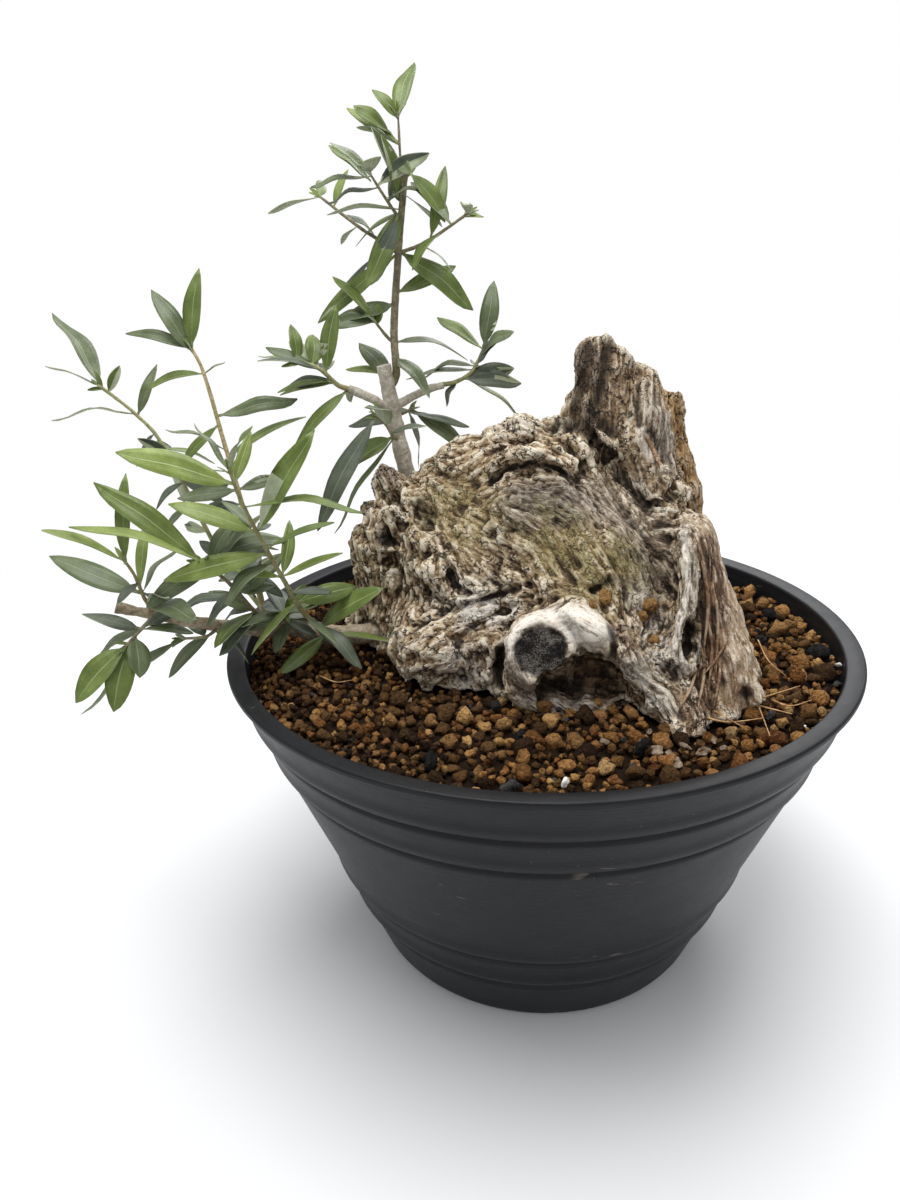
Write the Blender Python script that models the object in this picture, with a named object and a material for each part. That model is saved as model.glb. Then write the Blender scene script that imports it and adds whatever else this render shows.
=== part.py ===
"""Olive bonsai: an old gnarled stump with two clusters of young shoots, in a wide plastic bowl.

Metres, +Z up. The origin is the centre of the bowl's flat underside, and the front faces -Y.
Sizes in the tables are millimetres, and MM turns them into metres.
"""
import math
import random
from collections import namedtuple

import bmesh
import bpy
from mathutils import Matrix, Vector, noise
from mathutils.bvhtree import BVHTree

MM = 0.001
GAP = 0.3           # left between pieces that touch

# Bowl
POT_HEIGHT = 148.0
RIM_RADIUS = 135.0
LIP_WIDTH = 7.7
LIP_DEPTH = 4.0
FOOT_RADIUS = 77.0
WALL_TOP_RADIUS = 132.5
WALL = 4.0
GROOVE_HEIGHTS = (26.0, 44.0, 107.0, 125.3)
GROOVE_DEPTH = 1.3
GROOVE_REACH = 2.6
DRAIN_HOLES = 8
DRAIN_SIDES = 10
DRAIN_RADIUS = 4.0
DRAIN_CIRCLE = 52.0
POT_SEGMENTS = 56

# Soil
SOIL_TOP = 140.0
SOIL_FLAT_RADIUS = 109.0
SOIL_EDGE_DROP = 2.0
SOIL_BACK_DROP = 6.0
SOIL_LOW_SIDE = math.radians(48)

# Stump: chains of balls (x, y, z, radius) joined by tapering necks, and single egg-shaped lumps
STUMP_CHAINS = {
    "spire": ((24, 4, 200, 25), (25, 5, 236, 15), (25, 5, 256, 11), (23, 4, 265, 8)),
    "spire_shoulder": ((36, 2, 200, 24), (42, 4, 236, 14.5), (41, 4, 250, 10), (32, 4, 257, 9)),
    "crest": ((-36, 6, 205, 20), (-14, 6, 218, 20), (8, 4, 222, 19)),
    "left_shoulder": ((-40, 4, 190, 27), (-58, 8, 190, 20), (-66, 10, 176, 17)),
    "left_knob": ((-58, 10, 196, 12), (-62, 13, 214, 6.5)),
    "rear_seat": ((-50, 20, 190, 16), (-55, 23, 206, 8)),
    "left_edge": ((-66, 12, 186, 11), (-70, 14, 160, 14), (-70, 18, 140, 17)),
    "left_foot": ((-50, 0, 160, 20), (-58, 4, 136, 16)),
    "face": ((0, -8, 190, 34), (14, -14, 175, 38), (22, -22, 150, 40)),
    "right_body": ((44, -4, 205, 19), (46, -16, 178, 22), (50, -36, 150, 24)),
    "plank_ridge": ((58, -32, 204, 6), (63, -46, 180, 8), (67, -60, 156, 11), (67, -66, 138, 13)),
    "splinters": ((54, -44, 202, 4.5), (50, -57, 180, 6), (46, -66, 158, 7), (49, -78, 138, 11)),
    "arch": ((-3, -57, 166, 10), (9, -60, 174, 8), (24, -59, 168, 8), (34, -63, 156, 8), (42, -68, 142, 10)),
    "wound_knob": ((-2, -44, 160, 14), (-3, -50, 163, 13)),
    "hollow_floor": ((2, -42, 146, 14), (20, -42, 138, 14), (36, -50, 138, 13)),
    "lower_lip": ((-6, -56, 148, 9), (8, -57, 140, 9), (24, -58, 137, 9)),
    "back_root": ((-10, 22, 180, 26), (-16, 34, 142, 22)),
    "back_right_root": ((38, 14, 190, 20), (46, 30, 142, 20)),
    "broken_slab": ((55, 14, 244, 5), (60, 16, 222, 8), (66, 16, 194, 9)),
}
STUMP_EGGS = {
    "belly": ((0, -4, 160), (64, 44, 44)),
    "left_burl": ((-38, -26, 152), (25, 22, 26)),
    "middle_burl": ((-20, -36, 152), (16, 18, 22)),
    "upper_left_burl": ((-38, -12, 186), (22, 20, 22)),
}
STUMP_HOLLOWS = {
    "arch_hollow": ((19, -64, 154), (13, 11, 8)),
    "left_hole": ((-63, -9, 184), (4, 8, 4)),
    "slab_step": ((62, -2, 236), (5, 8, 30)),
}
STUMP_VOXEL = 3.4
STUMP_FINE_VOXEL = 2.55
BALL_FINENESS = 3
NECK_SEGMENTS = 24
STUMP_SMOOTHING = 3
STUMP_WAVES = ((26.0, 2.6), (11.0, 1.5))
STUMP_TRIANGLES = 3700

# Bare limbs: points along the middle (x, y, z), and the radius at the foot and at the tip
Limb = namedtuple("Limb", "parent route radii")
LIMBS = {
    "rear_stem": Limb(None, ((-54, 22, 205), (-57, 23.5, 222), (-60, 24, 240), (-63, 24, 260)), (3.7, 3.1)),
    "rear_left_bough": Limb("rear_stem", ((-60, 24, 240), (-67, 20, 246), (-72, 18, 249), (-77.5, 16, 251.8)),
                            (2.0, 1.6)),
    "rear_right_bough": Limb("rear_stem", ((-60, 24, 242), (-52, 26, 246), (-44, 29, 249), (-38, 31, 250)),
                             (1.9, 1.5)),
    "left_limb": Limb(None, ((-64, 2, 150), (-78, -1, 147), (-95, -3, 149), (-110, -6, 156), (-119, -8, 161)),
                      (4.6, 4.4)),
    "left_arm": Limb("left_limb", ((-106, -5, 154), (-116, -12, 155), (-142, -22, 164), (-171, -34, 177)),
                     (3.0, 2.1)),
}
LIMB_SIDES = 8
TWIG_SIDES = 5
SPAN_STEPS = 2      # straight pieces between one point of a route and the next

# Sprays: shoots with their leaves. A leaf is (place along the shoot from 0 to 1, heading in degrees
# from +X in plan, rise in degrees, length, width, and its mate's length on the shoot's far side).
Shoot = namedtuple("Shoot", "route radii leaves")
SPRAYS = {
    "rear_crown": ("rear_stem", (
        Shoot(((-61.5, 24.5, 250), (-58, 27, 256), (-58, 27, 274), (-54.5, 28, 305), (-50.5, 30, 334)),
              (2.1, 1.6), (
            (0.05, 165, 32, 26, 8, 0), (0.08, 180, 0, 25, 5, 0), (0.17, -50, -22, 24, 9, 0),
            (0.24, 4, 6, 30, 7, 0), (0.42, -165, -14, 24, 9, 0), (0.47, 12, 16, 28, 7, 0),
            (0.65, 185, -34, 44, 7, 0), (0.66, -14, -32, 38, 10, 0), (0.84, 178, 8, 30, 7, 0),
            (0.85, -118, 62, 32, 9, 0), (0.85, -125, -50, 36, 9, 0), (0.83, 165, -20, 24, 9, 0),
            (0.86, 120, 60, 18, 6, 0))),
        Shoot(((-55, 28, 304), (-62, 30, 309), (-70, 34, 314), (-87, 40, 327)), (1.0, 0.6), (
            (0.5, 150, -30, 12, 6, 0), (0.8, 20, 68, 16, 5, 0), (0.98, 180, -10, 22, 6, 0),
            (0.98, 90, 30, 14, 5, 0))),
        Shoot(((-55, 28, 304), (-48, 25, 306), (-41, 22, 309), (-26, 16, 318)), (1.0, 0.6), (
            (0.45, 40, 70, 30, 6, 0), (0.6, -165, -34, 18, 7, 0), (0.76, 150, 42, 27, 11, 0),
            (0.98, -94, 28, 18, 5, 8))),
        Shoot(((-53, 29, 316), (-52, 24, 338), (-52, 22, 355)), (0.9, 0.5), (
            (0.5, 100, 20, 20, 7, 16), (0.7, 180, 28, 18, 10, 0), (0.72, 175, 34, 24, 5, 0),
            (0.93, 180, 52, 14, 5, 0), (0.95, 85, 44, 33, 8, 0))),
        Shoot(((-53, 29, 316), (-60, 20, 327), (-64, 14, 334)), (0.9, 0.5), (
            (0.9, 178, -4, 24, 7, 0), (0.95, -168, 40, 18, 10, 14))),
        Shoot(((-58, 27, 268), (-62, 24, 273), (-66, 22, 279)), (0.9, 0.6), (
            (0.8, 90, 78, 9, 6, 0), (0.9, 180, 8, 18, 9, 0), (0.98, 160, 52, 24, 6, 0))),
    )),
    "rear_left_spray": ("rear_left_bough", (
        Shoot(((-76.5, 16.3, 251.3), (-82, 14.5, 254), (-87, 11, 260), (-92, 11, 263), (-98, 12, 264)),
              (1.4, 0.7), (
            (0.05, -150, -30, 34, 6, 0), (0.3, 176, -4, 24, 5, 0), (0.35, -165, -1, 23, 6, 0),
            (0.5, 0, 81, 27, 7, 0), (0.55, 90, 10, 24, 7, 0), (0.6, 178, 24, 24, 5, 0),
            (0.75, 60, 60, 14, 8, 0), (0.97, -155, 20, 16, 5, 0), (0.97, 100, 72, 16, 6, 0))),
    )),
    "rear_right_spray": ("rear_right_bough", (
        Shoot(((-40, 30.5, 250), (-32, 33, 251), (-25, 36, 255), (-19.5, 38, 265)), (1.3, 0.7), (
            (0.3, -150, -45, 12, 5, 0), (0.45, -8, -32, 34, 7, 0), (0.62, 178, -2, 30, 11, 0),
            (0.68, 168, 8, 24, 7, 0), (0.7, 90, -6, 24, 7, 0), (0.85, -55, 40, 22, 8, 0),
            (0.95, 175, 38, 24, 8, 0), (0.97, 20, 80, 28, 8, 0))),
    )),
    "rear_low_left_spray": ("rear_stem", (
        Shoot(((-58.5, 23.8, 229), (-60, 16.5, 231), (-63, 15, 237), (-67, 15, 241)), (1.0, 0.8), (
            (0.35, 195, -48, 48, 5, 0), (0.4, 188, -30, 24, 12, 0), (0.97, -146, -48, 54, 10, 0))),
    )),
    "rear_low_right_spray": ("rear_stem", (
        Shoot(((-60, 24, 238), (-55, 29, 239), (-52, 32, 240)), (0.9, 0.7), (
            (0.7, -5, -12, 28, 5, 0), (0.8, 20, -70, 26, 8, 0), (0.9, 110, -10, 30, 8, 0),
            (0.95, -8, -30, 33, 8, 0))),
    )),
    "left_tan_spray": ("left_limb", (
        Shoot(((-118, -7.5, 160), (-120, -6, 172), (-121, -2, 186), (-126, 4, 213), (-130, 6, 234),
               (-135, 8, 261), (-139, 8, 272)), (1.7, 0.8), (
            (0.48, 6, 14, 20, 6, 26), (0.6, 0, 26, 36, 7, 0), (0.72, 180, -38, 28, 6, 0),
            (0.75, 0, 12, 34, 7, 0), (0.9, 178, 0, 24, 7, 10), (0.97, 176, 58, 30, 9, 0),
            (0.99, 172, 26, 28, 6, 0), (0.99, 60, 82, 31, 9, 0))),
    )),
    "left_outer_spray": ("left_limb", (
        Shoot(((-117, -6.5, 160), (-124, 1, 165), (-142, 16, 185), (-162, 30, 226), (-174, 34, 241),
               (-189, 36, 254)), (1.5, 0.8), (
            (0.5, 147, -38, 30, 7, 24), (0.62, 110, -34, 28, 8, 22), (0.7, 40, -20, 26, 8, 0),
            (0.76, 150, -44, 22, 8, 0), (0.84, 20, 62, 24, 6, 0), (0.85, -122, 18, 36, 8, 0),
            (0.96, -10, 60, 13, 5, 0), (0.99, 185, 32, 26, 5, 0), (0.99, 128, 46, 42, 13, 0))),
    )),
    "left_front_spray": ("left_limb", (
        Shoot(((-93, -2.8, 149), (-93, -10, 152), (-96, -20, 162), (-100, -26, 172), (-110, -36, 204),
               (-115, -42, 223), (-117, -44, 234)), (1.6, 0.7), (
            (0.05, -125, -28, 28, 8, 0), (0.07, 10, -6, 32, 8, 0), (0.16, -20, 40, 36, 12, 0),
            (0.36, 20, 10, 26, 9, 28), (0.5, -25, 26, 30, 6, 22), (0.5, 80, 40, 28, 7, 0),
            (0.62, -157, -4, 40, 9, 0), (0.64, -15, 30, 28, 5, 0), (0.72, -33, 54, 48, 12, 34),
            (0.84, -14, 14, 46, 5, 0), (0.94, -122, 26, 50, 12, 22), (0.99, -64, 42, 34, 7, 24))),
    )),
    "left_mid_spray": ("left_limb", (
        Shoot(((-116, -8, 159), (-121, -15, 166), (-127, -25, 182), (-133, -39, 197)), (1.3, 0.8), (
            (0.2, 200, -18, 26, 11, 0), (0.45, -155, -25, 18, 7, 24), (0.85, -166, -8, 28, 9, 30),
            (0.92, 20, 60, 22, 7, 0), (0.97, 180, 44, 50, 11, 0), (0.97, -10, 2, 34, 12, 0),
            (0.97, -150, 36, 50, 8, 0))),
    )),
    "left_knot_spray": ("left_limb", (
        Shoot(((-109, -5.5, 156), (-108, -13, 161), (-106, -21, 167)), (1.0, 0.8), (
            (0.6, -140, 10, 20, 7, 0), (0.8, 12, 22, 28, 10, 0), (0.9, 60, 42, 16, 6, 0),
            (0.95, -10, 6, 22, 8, 0))),
    )),
    "left_arm_tip_spray": ("left_arm", (
        Shoot(((-158, -28.5, 171), (-160, -32, 180), (-161, -35, 190), (-163, -38, 198)), (1.1, 0.7), (
            (0.25, -41, 8, 34, 11, 0), (0.42, 180, 23, 40, 11, 28), (0.5, 82, 66, 28, 6, 0),
            (0.95, 100, 80, 34, 7, 0), (0.98, -112, 38, 43, 8, 0))),
    )),
    "left_arm_under_spray": ("left_arm", (
        Shoot(((-158, -28.5, 171), (-160, -38, 170), (-164, -50, 167)), (1.1, 0.7), (
            (0.4, 200, -26, 24, 11, 0), (0.5, 20, -10, 20, 8, 0), (0.7, -70, -42, 17, 11, 0),
            (0.8, -115, -46, 28, 12, 0), (0.96, -143, -30, 28, 12, 0))),
    )),
    "left_arm_middle_spray": ("left_arm", (
        Shoot(((-135, -19.5, 161.5), (-139, -27, 160), (-148, -33, 162)), (0.9, 0.7), (
            (0.25, 200, -30, 26, 9, 0), (0.97, 200, -24, 48, 10, 0))),
    )),
}
SPRAY_SEED = 41
LEAF_FACING = Vector((0.1, -0.5, 0.86))     # where the upper sides of the leaves turn, towards the light
LEAF_ROLL = math.radians(34)
LEAF_THICKNESS = 0.018           # of the leaf's length
LEAF_SAG = 0.10                  # of the leaf's length, at its tip
LEAF_FOOT = 2.2                  # of each leaf, lies on its own shoot
PETIOLE_RADIUS = 0.45
LEAF_TRIES = ((0, 0), (0, 10), (12, 5), (-12, 5), (0, -12), (24, 10), (-24, 10), (0, 24), (40, 15), (-40, 15))

COLOURS = {
    "pot_plastic": ((0.035, 0.036, 0.040), 0.55),
    "akadama": ((0.22, 0.095, 0.040), 0.95),
    "old_wood": ((0.33, 0.27, 0.20), 0.9),
    "bark": ((0.25, 0.20, 0.14), 0.85),
    "leaf": ((0.14, 0.20, 0.09), 0.6),
}


def clear_scene():
    for obj in list(bpy.data.objects):
        bpy.data.objects.remove(obj, do_unlink=True)


def material(name):
    """A fresh material of one of the named colours."""
    colour, roughness = COLOURS[name]
    mat = bpy.data.materials.new(name)
    mat.use_nodes = True
    shader = mat.node_tree.nodes["Principled BSDF"]
    shader.inputs["Base Color"].default_value = (*colour, 1.0)
    shader.inputs["Roughness"].default_value = roughness
    shader.inputs["Metallic"].default_value = 0.0
    return mat


def object_from(bm, name):
    """Turn a bmesh in millimetres into an object in metres."""
    bmesh.ops.scale(bm, vec=(MM, MM, MM), verts=bm.verts)
    mesh = bpy.data.meshes.new(name)
    bm.to_mesh(mesh)
    bm.free()
    obj = bpy.data.objects.new(name, mesh)
    bpy.context.scene.collection.objects.link(obj)
    return obj


def drop(obj):
    """Remove a helper object and its mesh."""
    mesh = obj.data
    bpy.data.objects.remove(obj, do_unlink=True)
    bpy.data.meshes.remove(mesh)


def apply_modifiers(obj):
    """Swap the object's mesh for the one that its modifiers make."""
    graph = bpy.context.evaluated_depsgraph_get()
    made = bpy.data.meshes.new_from_object(obj.evaluated_get(graph), depsgraph=graph)
    old = obj.data
    obj.modifiers.clear()
    obj.data = made
    made.name = obj.name
    bpy.data.meshes.remove(old)


def boolean(obj, others, operation, solver="EXACT"):
    """One Boolean of the object with a collection of others, which are then removed."""
    helpers = bpy.data.collections.new(obj.name + "_helpers")
    bpy.context.scene.collection.children.link(helpers)
    for other in others:
        for home in list(other.users_collection):
            home.objects.unlink(other)
        helpers.objects.link(other)
    step = obj.modifiers.new(operation, "BOOLEAN")
    step.operation = operation
    step.operand_type = "COLLECTION"
    step.collection = helpers
    step.solver = solver
    apply_modifiers(obj)
    for other in list(helpers.objects):
        drop(other)
    bpy.data.collections.remove(helpers)


def turned(profile, segments):
    """A closed body turned round Z from (radius, height) points, first and last on the axis."""
    bm = bmesh.new()
    points = [bm.verts.new((radius, 0, height)) for radius, height in profile]
    edges = [bm.edges.new(pair) for pair in zip(points, points[1:])]
    bmesh.ops.spin(bm, geom=points + edges, cent=(0, 0, 0), axis=(0, 0, 1),
                   angle=math.tau, steps=segments, use_merge=True)
    bmesh.ops.remove_doubles(bm, verts=bm.verts, dist=1e-4)
    bmesh.ops.recalc_face_normals(bm, faces=bm.faces)
    return bm


def wall_radius(height):
    """Outer radius of the bowl's straight wall."""
    slope = (WALL_TOP_RADIUS - FOOT_RADIUS) / (POT_HEIGHT - LIP_DEPTH)
    return FOOT_RADIUS + slope * height


def pot_profile():
    lip_foot = POT_HEIGHT - LIP_DEPTH
    inner = RIM_RADIUS - LIP_WIDTH
    outside = [(0, 0), (FOOT_RADIUS - 1.4, 0), (FOOT_RADIUS + 0.2, 1.4)]
    for height in GROOVE_HEIGHTS:
        radius = wall_radius(height)
        outside += [(wall_radius(height - GROOVE_REACH), height - GROOVE_REACH),
                    (radius - GROOVE_DEPTH, height - 0.4),
                    (radius + 0.3, height + 0.5)]
    lip = [(WALL_TOP_RADIUS, lip_foot), (RIM_RADIUS, lip_foot + 1.0), (RIM_RADIUS, POT_HEIGHT - 1.2),
           (RIM_RADIUS - 1.2, POT_HEIGHT), (inner + 1.4, POT_HEIGHT - 0.5), (inner, POT_HEIGHT - 1.8)]
    inside = [(inner, lip_foot - 2), (wall_radius(WALL) - WALL, WALL), (0, WALL)]
    return outside + lip + inside


def make_pot():
    pot = object_from(turned(pot_profile(), POT_SEGMENTS), "pot")
    holes = []
    for index in range(DRAIN_HOLES):
        angle = math.tau * (index + 0.5) / DRAIN_HOLES
        bm = bmesh.new()
        place = Matrix.Translation((DRAIN_CIRCLE * math.cos(angle), DRAIN_CIRCLE * math.sin(angle), WALL / 2))
        bmesh.ops.create_cone(bm, cap_ends=True, segments=DRAIN_SIDES, radius1=DRAIN_RADIUS,
                              radius2=DRAIN_RADIUS, depth=WALL * 3, matrix=place)
        holes.append(object_from(bm, "drain"))
    boolean(pot, holes, "DIFFERENCE")
    pot.data.shade_smooth()
    pot.data.set_sharp_from_angle(angle=math.radians(35))
    pot.data.materials.append(material("pot_plastic"))
    return pot


def inner_radius(height):
    """Inner radius of the bowl's wall at a height under the lip."""
    low, high = wall_radius(WALL) - WALL, RIM_RADIUS - LIP_WIDTH
    return low + (high - low) * (height - WALL) / (POT_HEIGHT - LIP_DEPTH - 2 - WALL)


def make_soil():
    floor = WALL + GAP
    edge = SOIL_TOP - SOIL_EDGE_DROP
    profile = [(0, floor), (inner_radius(floor) - GAP, floor), (inner_radius(edge) - GAP - 0.3, edge),
               (SOIL_FLAT_RADIUS, SOIL_TOP), (0, SOIL_TOP)]
    bm = turned(profile, POT_SEGMENTS)
    for vert in bm.verts:
        radius = math.hypot(vert.co.x, vert.co.y)
        if abs(vert.co.z - edge) < 0.1 and radius > SOIL_FLAT_RADIUS:
            lean = math.cos(math.atan2(vert.co.y, vert.co.x) - SOIL_LOW_SIDE)
            vert.co.z -= SOIL_BACK_DROP * max(0.0, lean)
            shrink = (inner_radius(vert.co.z) - GAP - 0.3) / radius
            vert.co.x *= shrink
            vert.co.y *= shrink
    soil = object_from(bm, "soil")
    soil.data.materials.append(material("akadama"))
    return soil


def add_ball(bm, centre, radii):
    place = Matrix.Translation(centre) @ Matrix.Diagonal((*radii, 1.0))
    bmesh.ops.create_icosphere(bm, subdivisions=BALL_FINENESS, radius=1.0, matrix=place)


def add_neck(bm, start, end):
    """A tapering bar between two balls, each given as (x, y, z, radius)."""
    low, high = Vector(start[:3]), Vector(end[:3])
    along = high - low
    place = Matrix.Translation((low + high) / 2) @ along.to_track_quat("Z", "Y").to_matrix().to_4x4()
    bmesh.ops.create_cone(bm, cap_ends=True, segments=NECK_SEGMENTS, radius1=start[3], radius2=end[3],
                          depth=along.length, matrix=place)


def stump_waves(point, normal):
    """How far the old wood's swells and folds push a point of the stump, in millimetres."""
    push = 0.0
    for length, height in STUMP_WAVES:
        push += height * noise.noise(point / length, noise_basis="PERLIN_ORIGINAL")
    return normal * push


def make_trunk(limbs):
    bm = bmesh.new()
    for chain in STUMP_CHAINS.values():
        for ball in chain:
            add_ball(bm, ball[:3], (ball[3],) * 3)
        for start, end in zip(chain, chain[1:]):
            add_neck(bm, start, end)
    for centre, radii in STUMP_EGGS.values():
        add_ball(bm, centre, radii)
    trunk = object_from(bm, "trunk")
    skin = trunk.modifiers.new("skin", "REMESH")
    skin.mode = "VOXEL"
    skin.voxel_size = STUMP_VOXEL * MM
    soft = trunk.modifiers.new("soft", "SMOOTH")
    soft.iterations = STUMP_SMOOTHING
    apply_modifiers(trunk)

    hollows = []
    for centre, radii in STUMP_HOLLOWS.values():
        bm = bmesh.new()
        add_ball(bm, centre, radii)
        hollows.append(object_from(bm, "hollow"))
    boolean(trunk, hollows, "DIFFERENCE")

    bm = bmesh.new()
    bm.from_mesh(trunk.data)
    bm.normal_update()
    moves = [stump_waves(vert.co / MM, vert.normal.copy()) for vert in bm.verts]
    for vert, move in zip(bm.verts, moves):
        vert.co += move * MM
    bm.to_mesh(trunk.data)
    bm.free()
    again = trunk.modifiers.new("skin", "REMESH")
    again.mode = "VOXEL"
    again.voxel_size = STUMP_FINE_VOXEL * MM
    apply_modifiers(trunk)
    fewer = trunk.modifiers.new("fewer", "DECIMATE")
    trunk.data.calc_loop_triangles()
    fewer.ratio = STUMP_TRIANGLES / len(trunk.data.loop_triangles)
    apply_modifiers(trunk)

    ground = bmesh.new()
    width, depth = 3 * RIM_RADIUS, SOIL_TOP
    place = Matrix.Translation((0, 0, SOIL_TOP + GAP - depth / 2)) @ Matrix.Diagonal((width, width, depth, 1))
    bmesh.ops.create_cube(ground, size=1.0, matrix=place)
    cutters = [object_from(ground, "ground")]
    cutters += [tube(name + "_seat", limb.route, limb.radii, LIMB_SIDES, GAP)
                for name, limb in limbs.items() if limb.parent is None]
    boolean(trunk, cutters, "DIFFERENCE")
    trunk.data.materials.append(material("old_wood"))
    return trunk


def smooth_route(points, per_span):
    """Points on a smooth curve through the given ones."""
    points = [Vector(point) for point in points]
    ends = [2 * points[0] - points[1]] + points + [2 * points[-1] - points[-2]]
    curve = []
    for a, b, c, d in zip(ends, ends[1:], ends[2:], ends[3:]):
        for step in range(per_span):
            t = step / per_span
            curve.append(0.5 * ((2 * b) + (c - a) * t + (2 * a - 5 * b + 4 * c - d) * t ** 2
                                + (3 * b - a - 3 * c + d) * t ** 3))
    curve.append(points[-1])
    return curve


def directions(curve):
    ends = [curve[0]] + curve + [curve[-1]]
    return [(after - before).normalized() for before, after in zip(ends, ends[2:])]


def add_tube(bm, curve, radii, sides):
    """A capped tube that tapers along the curve."""
    headings = directions(curve)
    side = headings[0].orthogonal().normalized()
    rings = []
    for index, (point, heading) in enumerate(zip(curve, headings)):
        side = (side - heading * side.dot(heading)).normalized()
        other = heading.cross(side)
        part = index / (len(curve) - 1)
        radius = radii[0] + (radii[1] - radii[0]) * part
        ring = []
        for corner in range(sides):
            angle = math.tau * corner / sides
            ring.append(bm.verts.new(point + radius * (side * math.cos(angle) + other * math.sin(angle))))
        rings.append(ring)
    for low, high in zip(rings, rings[1:]):
        for corner in range(sides):
            after = (corner + 1) % sides
            bm.faces.new((low[corner], low[after], high[after], high[corner]))
    bm.faces.new(reversed(rings[0]))
    bm.faces.new(rings[-1])


def tube(name, route, radii, sides, grown=0.0):
    curve = smooth_route(route, SPAN_STEPS)
    if grown:
        curve.append(curve[-1] + directions(curve)[-1] * grown)
    bm = bmesh.new()
    add_tube(bm, curve, [radius + grown for radius in radii], sides)
    return object_from(bm, name)


def make_limbs():
    made = []
    for name, limb in LIMBS.items():
        obj = tube(name, limb.route, limb.radii, LIMB_SIDES)
        if limb.parent:
            parent = LIMBS[limb.parent]
            boolean(obj, [tube("seat", parent.route, parent.radii, LIMB_SIDES, GAP)], "DIFFERENCE")
        obj.data.materials.append(material("bark"))
        made.append(obj)
    return made


def place_on(curve, part):
    """The point a part of the way along the curve, and the curve's heading there."""
    spans = [(after - before).length for before, after in zip(curve, curve[1:])]
    left = part * sum(spans)
    for before, after, span in zip(curve, curve[1:], spans):
        if left <= span:
            return before + (after - before) * (left / span), (after - before) / span
        left -= span
    return curve[-1].copy(), (curve[-1] - curve[-2]).normalized()


def heading_vector(heading, rise):
    heading, rise = math.radians(heading), math.radians(rise)
    return Vector((math.cos(heading) * math.cos(rise), math.sin(heading) * math.cos(rise), math.sin(rise)))


def leaf_mesh(root, out, length, width, sag, roll, grown=0.0):
    """A slim leaf: a petiole ring, two blade rings and a tip, all a little thick, drooping to its tip."""
    across = Matrix.Rotation(roll, 3, out) @ out.cross(LEAF_FACING).normalized()
    over = across.cross(out).normalized()
    thick = max(LEAF_THICKNESS * length, 0.5) / 2 + grown
    stations = ((0.0, PETIOLE_RADIUS, PETIOLE_RADIUS), (0.42, width / 2, thick), (0.74, width * 0.36, thick))
    bm = bmesh.new()
    rings = []
    for part, half, depth in stations:
        middle = root + out * (length * part) - over * (sag * part ** 2)
        half += grown
        rings.append([bm.verts.new(middle + offset) for offset in
                      (across * half, over * depth, across * -half, over * -depth)])
    tip = bm.verts.new(root + out * length - over * sag)
    for low, high in zip(rings, rings[1:]):
        for corner in range(4):
            after = (corner + 1) % 4
            bm.faces.new((low[corner], low[after], high[after], high[corner]))
    for corner in range(4):
        bm.faces.new((rings[-1][corner], rings[-1][(corner + 1) % 4], tip))
    bm.faces.new(reversed(rings[0]))
    bmesh.ops.triangulate(bm, faces=bm.faces)
    bmesh.ops.recalc_face_normals(bm, faces=bm.faces)
    return bm


def tree_of(obj):
    """A search tree of an object's faces, in millimetres."""
    obj.data.calc_loop_triangles()
    points = [vert.co / MM for vert in obj.data.vertices]
    return BVHTree.FromPolygons(points, [tuple(face.vertices) for face in obj.data.loop_triangles])


def clear_leaf(root, out, length, width, sag, roll, others):
    """The leaf turned as little as keeps it clear of the other pieces, or None."""
    base_heading = math.degrees(math.atan2(out.y, out.x))
    base_rise = math.degrees(math.asin(max(-1.0, min(1.0, out.z))))
    for turn, lift in LEAF_TRIES:
        tried = heading_vector(base_heading + turn, max(-80, min(85, base_rise + lift)))
        probe = leaf_mesh(root + tried * LEAF_FOOT, tried, length - LEAF_FOOT, width, sag, roll, GAP)
        tree = BVHTree.FromBMesh(probe)
        probe.free()
        if not any(tree.overlap(other) for other in others):
            return leaf_mesh(root, tried, length, width, sag, roll)
    return None


def make_spray(name, parent, shoots, others, rng):
    helpers = []
    spray = None
    for shoot in shoots:
        obj = tube(name, shoot.route, shoot.radii, TWIG_SIDES)
        if spray is None:
            spray = obj
        else:
            helpers.append(obj)
    for shoot in shoots:
        curve = smooth_route(shoot.route, 4)
        for part, heading, rise, length, width, mate in shoot.leaves:
            root, along = place_on(curve, part)
            out = heading_vector(heading, rise)
            mirrored = 2 * out.dot(along) * along - out
            for leaf_out, leaf_length in ((out, length), (mirrored, mate)):
                leaf_width = width * leaf_length / length
                sag = leaf_length * LEAF_SAG * rng.uniform(0.2, 1.4)
                roll = rng.uniform(-LEAF_ROLL, LEAF_ROLL)
                if leaf_length == 0:
                    continue
                bm = clear_leaf(root, leaf_out, leaf_length, leaf_width, sag, roll, others)
                if bm:
                    helpers.append(object_from(bm, "leaf"))
    boolean(spray, helpers, "UNION", "MANIFOLD")
    limb = LIMBS[parent]
    boolean(spray, [tube("seat", limb.route, limb.radii, LIMB_SIDES, GAP)], "DIFFERENCE", "MANIFOLD")
    spray.data.materials.append(material("leaf"))
    return spray


def main():
    clear_scene()
    pot = make_pot()
    soil = make_soil()
    trunk = make_trunk(LIMBS)
    others = [tree_of(obj) for obj in [pot, soil, trunk, *make_limbs()]]
    rng = random.Random(SPRAY_SEED)
    for name, (parent, shoots) in SPRAYS.items():
        others.append(tree_of(make_spray(name, parent, shoots, others, rng)))


main()
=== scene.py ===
"""Olive bonsai: an old gnarled stump with two clusters of leafy shoots, in a bowl of baked-clay grains.

Metres, +Z up. The tables are in millimetres, which MM turns into metres, and marks on the stump's
front are placed by the photo's own pixels, thrown on the wood through the camera.
"""
import itertools
import math
import random
from collections import namedtuple

import bmesh
import bpy
import numpy as np
from mathutils import Matrix, Vector
from mathutils.bvhtree import BVHTree


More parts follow.
